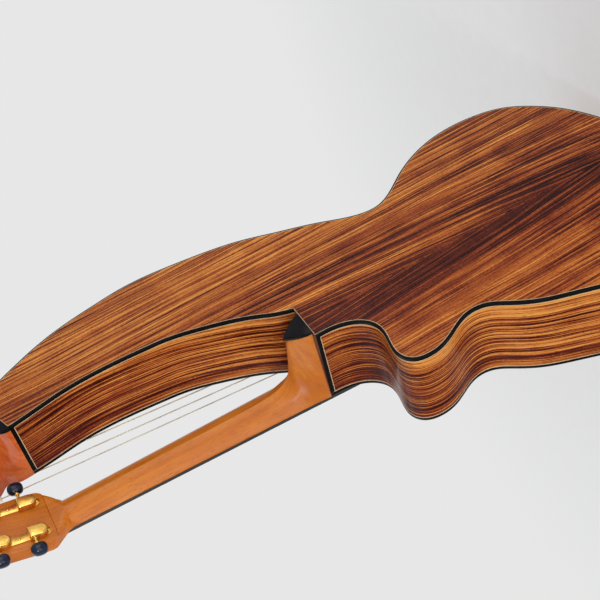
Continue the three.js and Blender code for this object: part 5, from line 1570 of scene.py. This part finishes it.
def rounded_path(points, reach=1.2, steps=4):
    """The path with each inner corner eased."""
    p = [np.array(q, float) for q in points]
    out = [p[0]]
    for a, b, c in zip(p, p[1:], p[2:]):
        before, after = np.linalg.norm(b - a), np.linalg.norm(c - b)
        d = min(reach, before / 2.2, after / 2.2)
        start, end = b + (a - b) / before * d, b + (c - b) / after * d
        for t in np.linspace(0, 1, steps):
            out.append((1 - t) ** 2 * start + 2 * t * (1 - t) * b + t * t * end)
    return out + [p[-1]]


def add_string(node, radius, bridge_x, nut_points, posts, index, head, place, material, slot):
    """A string from its bridge pin over the saddle and a nut to a post, and its turns there."""
    side, x, rise = posts[index]
    lift = radius + CLEARANCE
    path = [
        (bridge_x, BRIDGE_TOP + 0.1, PIN_Z + 3.0 + radius),
        (bridge_x, SADDLE_TOP + 0.45 - lift + 0.3, SADDLE_Z - 1.2),
        (bridge_x, SADDLE_TOP + 0.25 - lift, SADDLE_Z + 0.3),
        *nut_points,
        turned([[x - side * (WAIST_RADIUS + radius + CLEARANCE), -8.3, rise]], place)[0],
    ]
    part, uv = wire_tube(rounded_path(path), radius)
    piece(f"{node}_wire", part, material, slot, replaces=[node], angle=70, uv=uv)
    turns = 2.0 if radius > 0.6 else 3.0
    part, uv = wire_tube(wraps(WAIST_RADIUS + radius, turns, radius, side), radius, 8)
    part = posed(part, place @ Matrix.Translation((x, 0, rise)))
    body = f"{head}_post_{'bass' if index < 3 else 'treble'}_{index % 3 + 1}"
    piece(f"{node}_wraps", part, material, slot, body=body, angle=70, uv=uv)


for i, (r, bridge_x, nut_x) in enumerate(main_strings):
    y = NUT_TOP + SLOT_DEPTH - r
    add_string(
        f"string_{6 - i}", r, bridge_x, [(nut_x, y - 0.1, 0.9), (nut_x, y, 4.2)],
        main_posts, i if i < 3 else 8 - i, "head", AT_HEAD,
        *((BRONZE, "wound_bronze") if i < 4 else (WIRE, "plain_steel")),
    )
for i, (r, bridge_x, nut_x) in enumerate(harp_strings):
    y = HARP_NUT_TOP + SLOT_DEPTH - r
    nut_points = turned([[nut_x, y - 0.1, 0.6], [nut_x, y, 4.0]], AT_HARP_NUT)
    add_string(
        f"harp_string_{i + 1}", r, bridge_x, nut_points,
        harp_posts, 3 + i if i < 2 else 4 - i, "harp", AT_HARP, SILVER, "wound_bronze",
    )

# ---------------------------------------------------------------- floor, light and camera

view_right = Vector((0.4417294, -0.20395094, -0.87365849))
view_down = Vector((0.53035636, -0.72607419, 0.437651))
view_in = Vector((-0.72360021, -0.65667365, -0.21256164))
middle = Vector((-0.02, 0.06, -0.35))


def seen(right, above, back):
    """A point by its place in the photograph's view, in metres from the object's middle."""
    return middle + view_right * right - view_down * above - view_in * back


for name, place, aim, size, power in (
    ("key", seen(0.6, 0.3, 2.1), middle, (2.6, 2.2), 31),
    ("top", seen(-0.6, 1.9, 0.9), middle, (2.0, 1.2), 15),
    ("fill", seen(1.7, -0.2, 1.9), middle, (2.0, 2.0), 20),
    ("front", Vector((0.3, -2.2, 0.9)), Vector((0, 0, -0.3)), (3.0, 3.0), 35),
    ("spark", Vector((1.75, 0.35, 0.3)), Vector((-0.02, 0.03, 0.02)), (0.3, 0.3), 7.5),
):
    lamp = bpy.data.lights.new(name, "AREA")
    lamp.shape = "RECTANGLE"
    lamp.size, lamp.size_y = size
    lamp.energy = power
    made = linked(name, lamp)
    made.location = place
    made.rotation_mode = "QUATERNION"
    made.rotation_quaternion = (aim - place).to_track_quat("-Z", "Y")

# The camera and reflections see plain paper. All else is lit by a softer sky.
PAPER = (0.80, 0.80, 0.80, 1.0)
FLOOR_Z = -0.853
world = bpy.data.worlds.new("studio")
bpy.context.scene.world = world
world.use_nodes = True
world_nodes, world_links = world.node_tree.nodes, world.node_tree.links
world_nodes.clear()


def world_node(kind, *values):
    node = world_nodes.new(kind)
    for value, socket in zip(values, node.inputs):
        if isinstance(value, bpy.types.NodeSocket):
            world_links.new(value, socket)
        else:
            socket.default_value = value
    return node.outputs


def larger(a, b):
    out = world_node("ShaderNodeMath", a, b)[0]
    out.node.operation = "MAXIMUM"
    return out


rays = world_node("ShaderNodeLightPath")
seen_rays = rays["Is Camera Ray"]
for kind in ("Glossy", "Transmission"):
    seen_rays = larger(seen_rays, rays[f"Is {kind} Ray"])
soft = world_node("ShaderNodeBackground", (0.95, 0.97, 1.0, 1.0), 0.45)[0]
paper = world_node("ShaderNodeBackground", PAPER, 1.0)[0]
world_node("ShaderNodeOutputWorld", world_node("ShaderNodeMixShader", seen_rays, soft, paper)[0])


def floor():
    """A sheet of paper that fades into the background's tone away from the guitar."""
    f = Finish("floor_paper", 0.9, 0.1)
    x, y, _ = f.xyz()
    grain = f.noise((x, y), (40.0, 40.0), 3.0)
    shade = f.mix(f.fit(grain, 0.3, 0.7), (0.78, 0.78, 0.78, 1), (0.82, 0.82, 0.82, 1))
    f.plug(shade, f.shader.inputs["Base Color"])
    far = f.math("SQRT", f.add(f.mul(x, x), f.mul(y, y)))
    share = f.fit(far, 0.1, 1.5, 0.45, 1.0, smooth=True)
    glow = f.node("ShaderNodeEmission", PAPER)
    mixed = f.node("ShaderNodeMixShader", share, f.shader.outputs[0], glow.outputs[0])
    f.plug(mixed.outputs[0], f.nodes["Material Output"].inputs[0])
    mesh = bpy.data.meshes.new("floor")
    work = bmesh.new()
    bmesh.ops.create_grid(work, x_segments=8, y_segments=8, size=6.0)
    work.to_mesh(mesh)
    work.free()
    mesh.materials.append(f.material)
    made = linked("floor", mesh)
    made.location = (0, 0, FLOOR_Z)


floor()

# The camera that was solved from the photograph.
FOCAL_PIXELS, PHOTO_PIXELS, SENSOR = 1180.8, 600, 36
camera_data = bpy.data.cameras.new("camera")
camera_data.lens = FOCAL_PIXELS / PHOTO_PIXELS * SENSOR
camera_data.sensor_width = SENSOR
camera_data.clip_start, camera_data.clip_end = 0.05, 50
camera = linked("camera", camera_data)
turn = Matrix((view_right, -view_down, -view_in)).transposed().to_4x4()
camera.matrix_world = Matrix.Translation((0.9739, 1.0205, -0.0677)) @ turn
bpy.context.scene.camera = camera
bpy.context.scene.view_settings.view_transform = "Standard"

# ---------------------------------------------------------------- carried-over nodes

for name, material in (
    ("neck_block", BLOCK), ("tail_block", BLOCK), ("harp_block", BLOCK),
    ("top_bracing", BRACE), ("back_bracing", BRACE),
):
    nodes[name].data.materials.clear()
    nodes[name].data.materials.append(material)
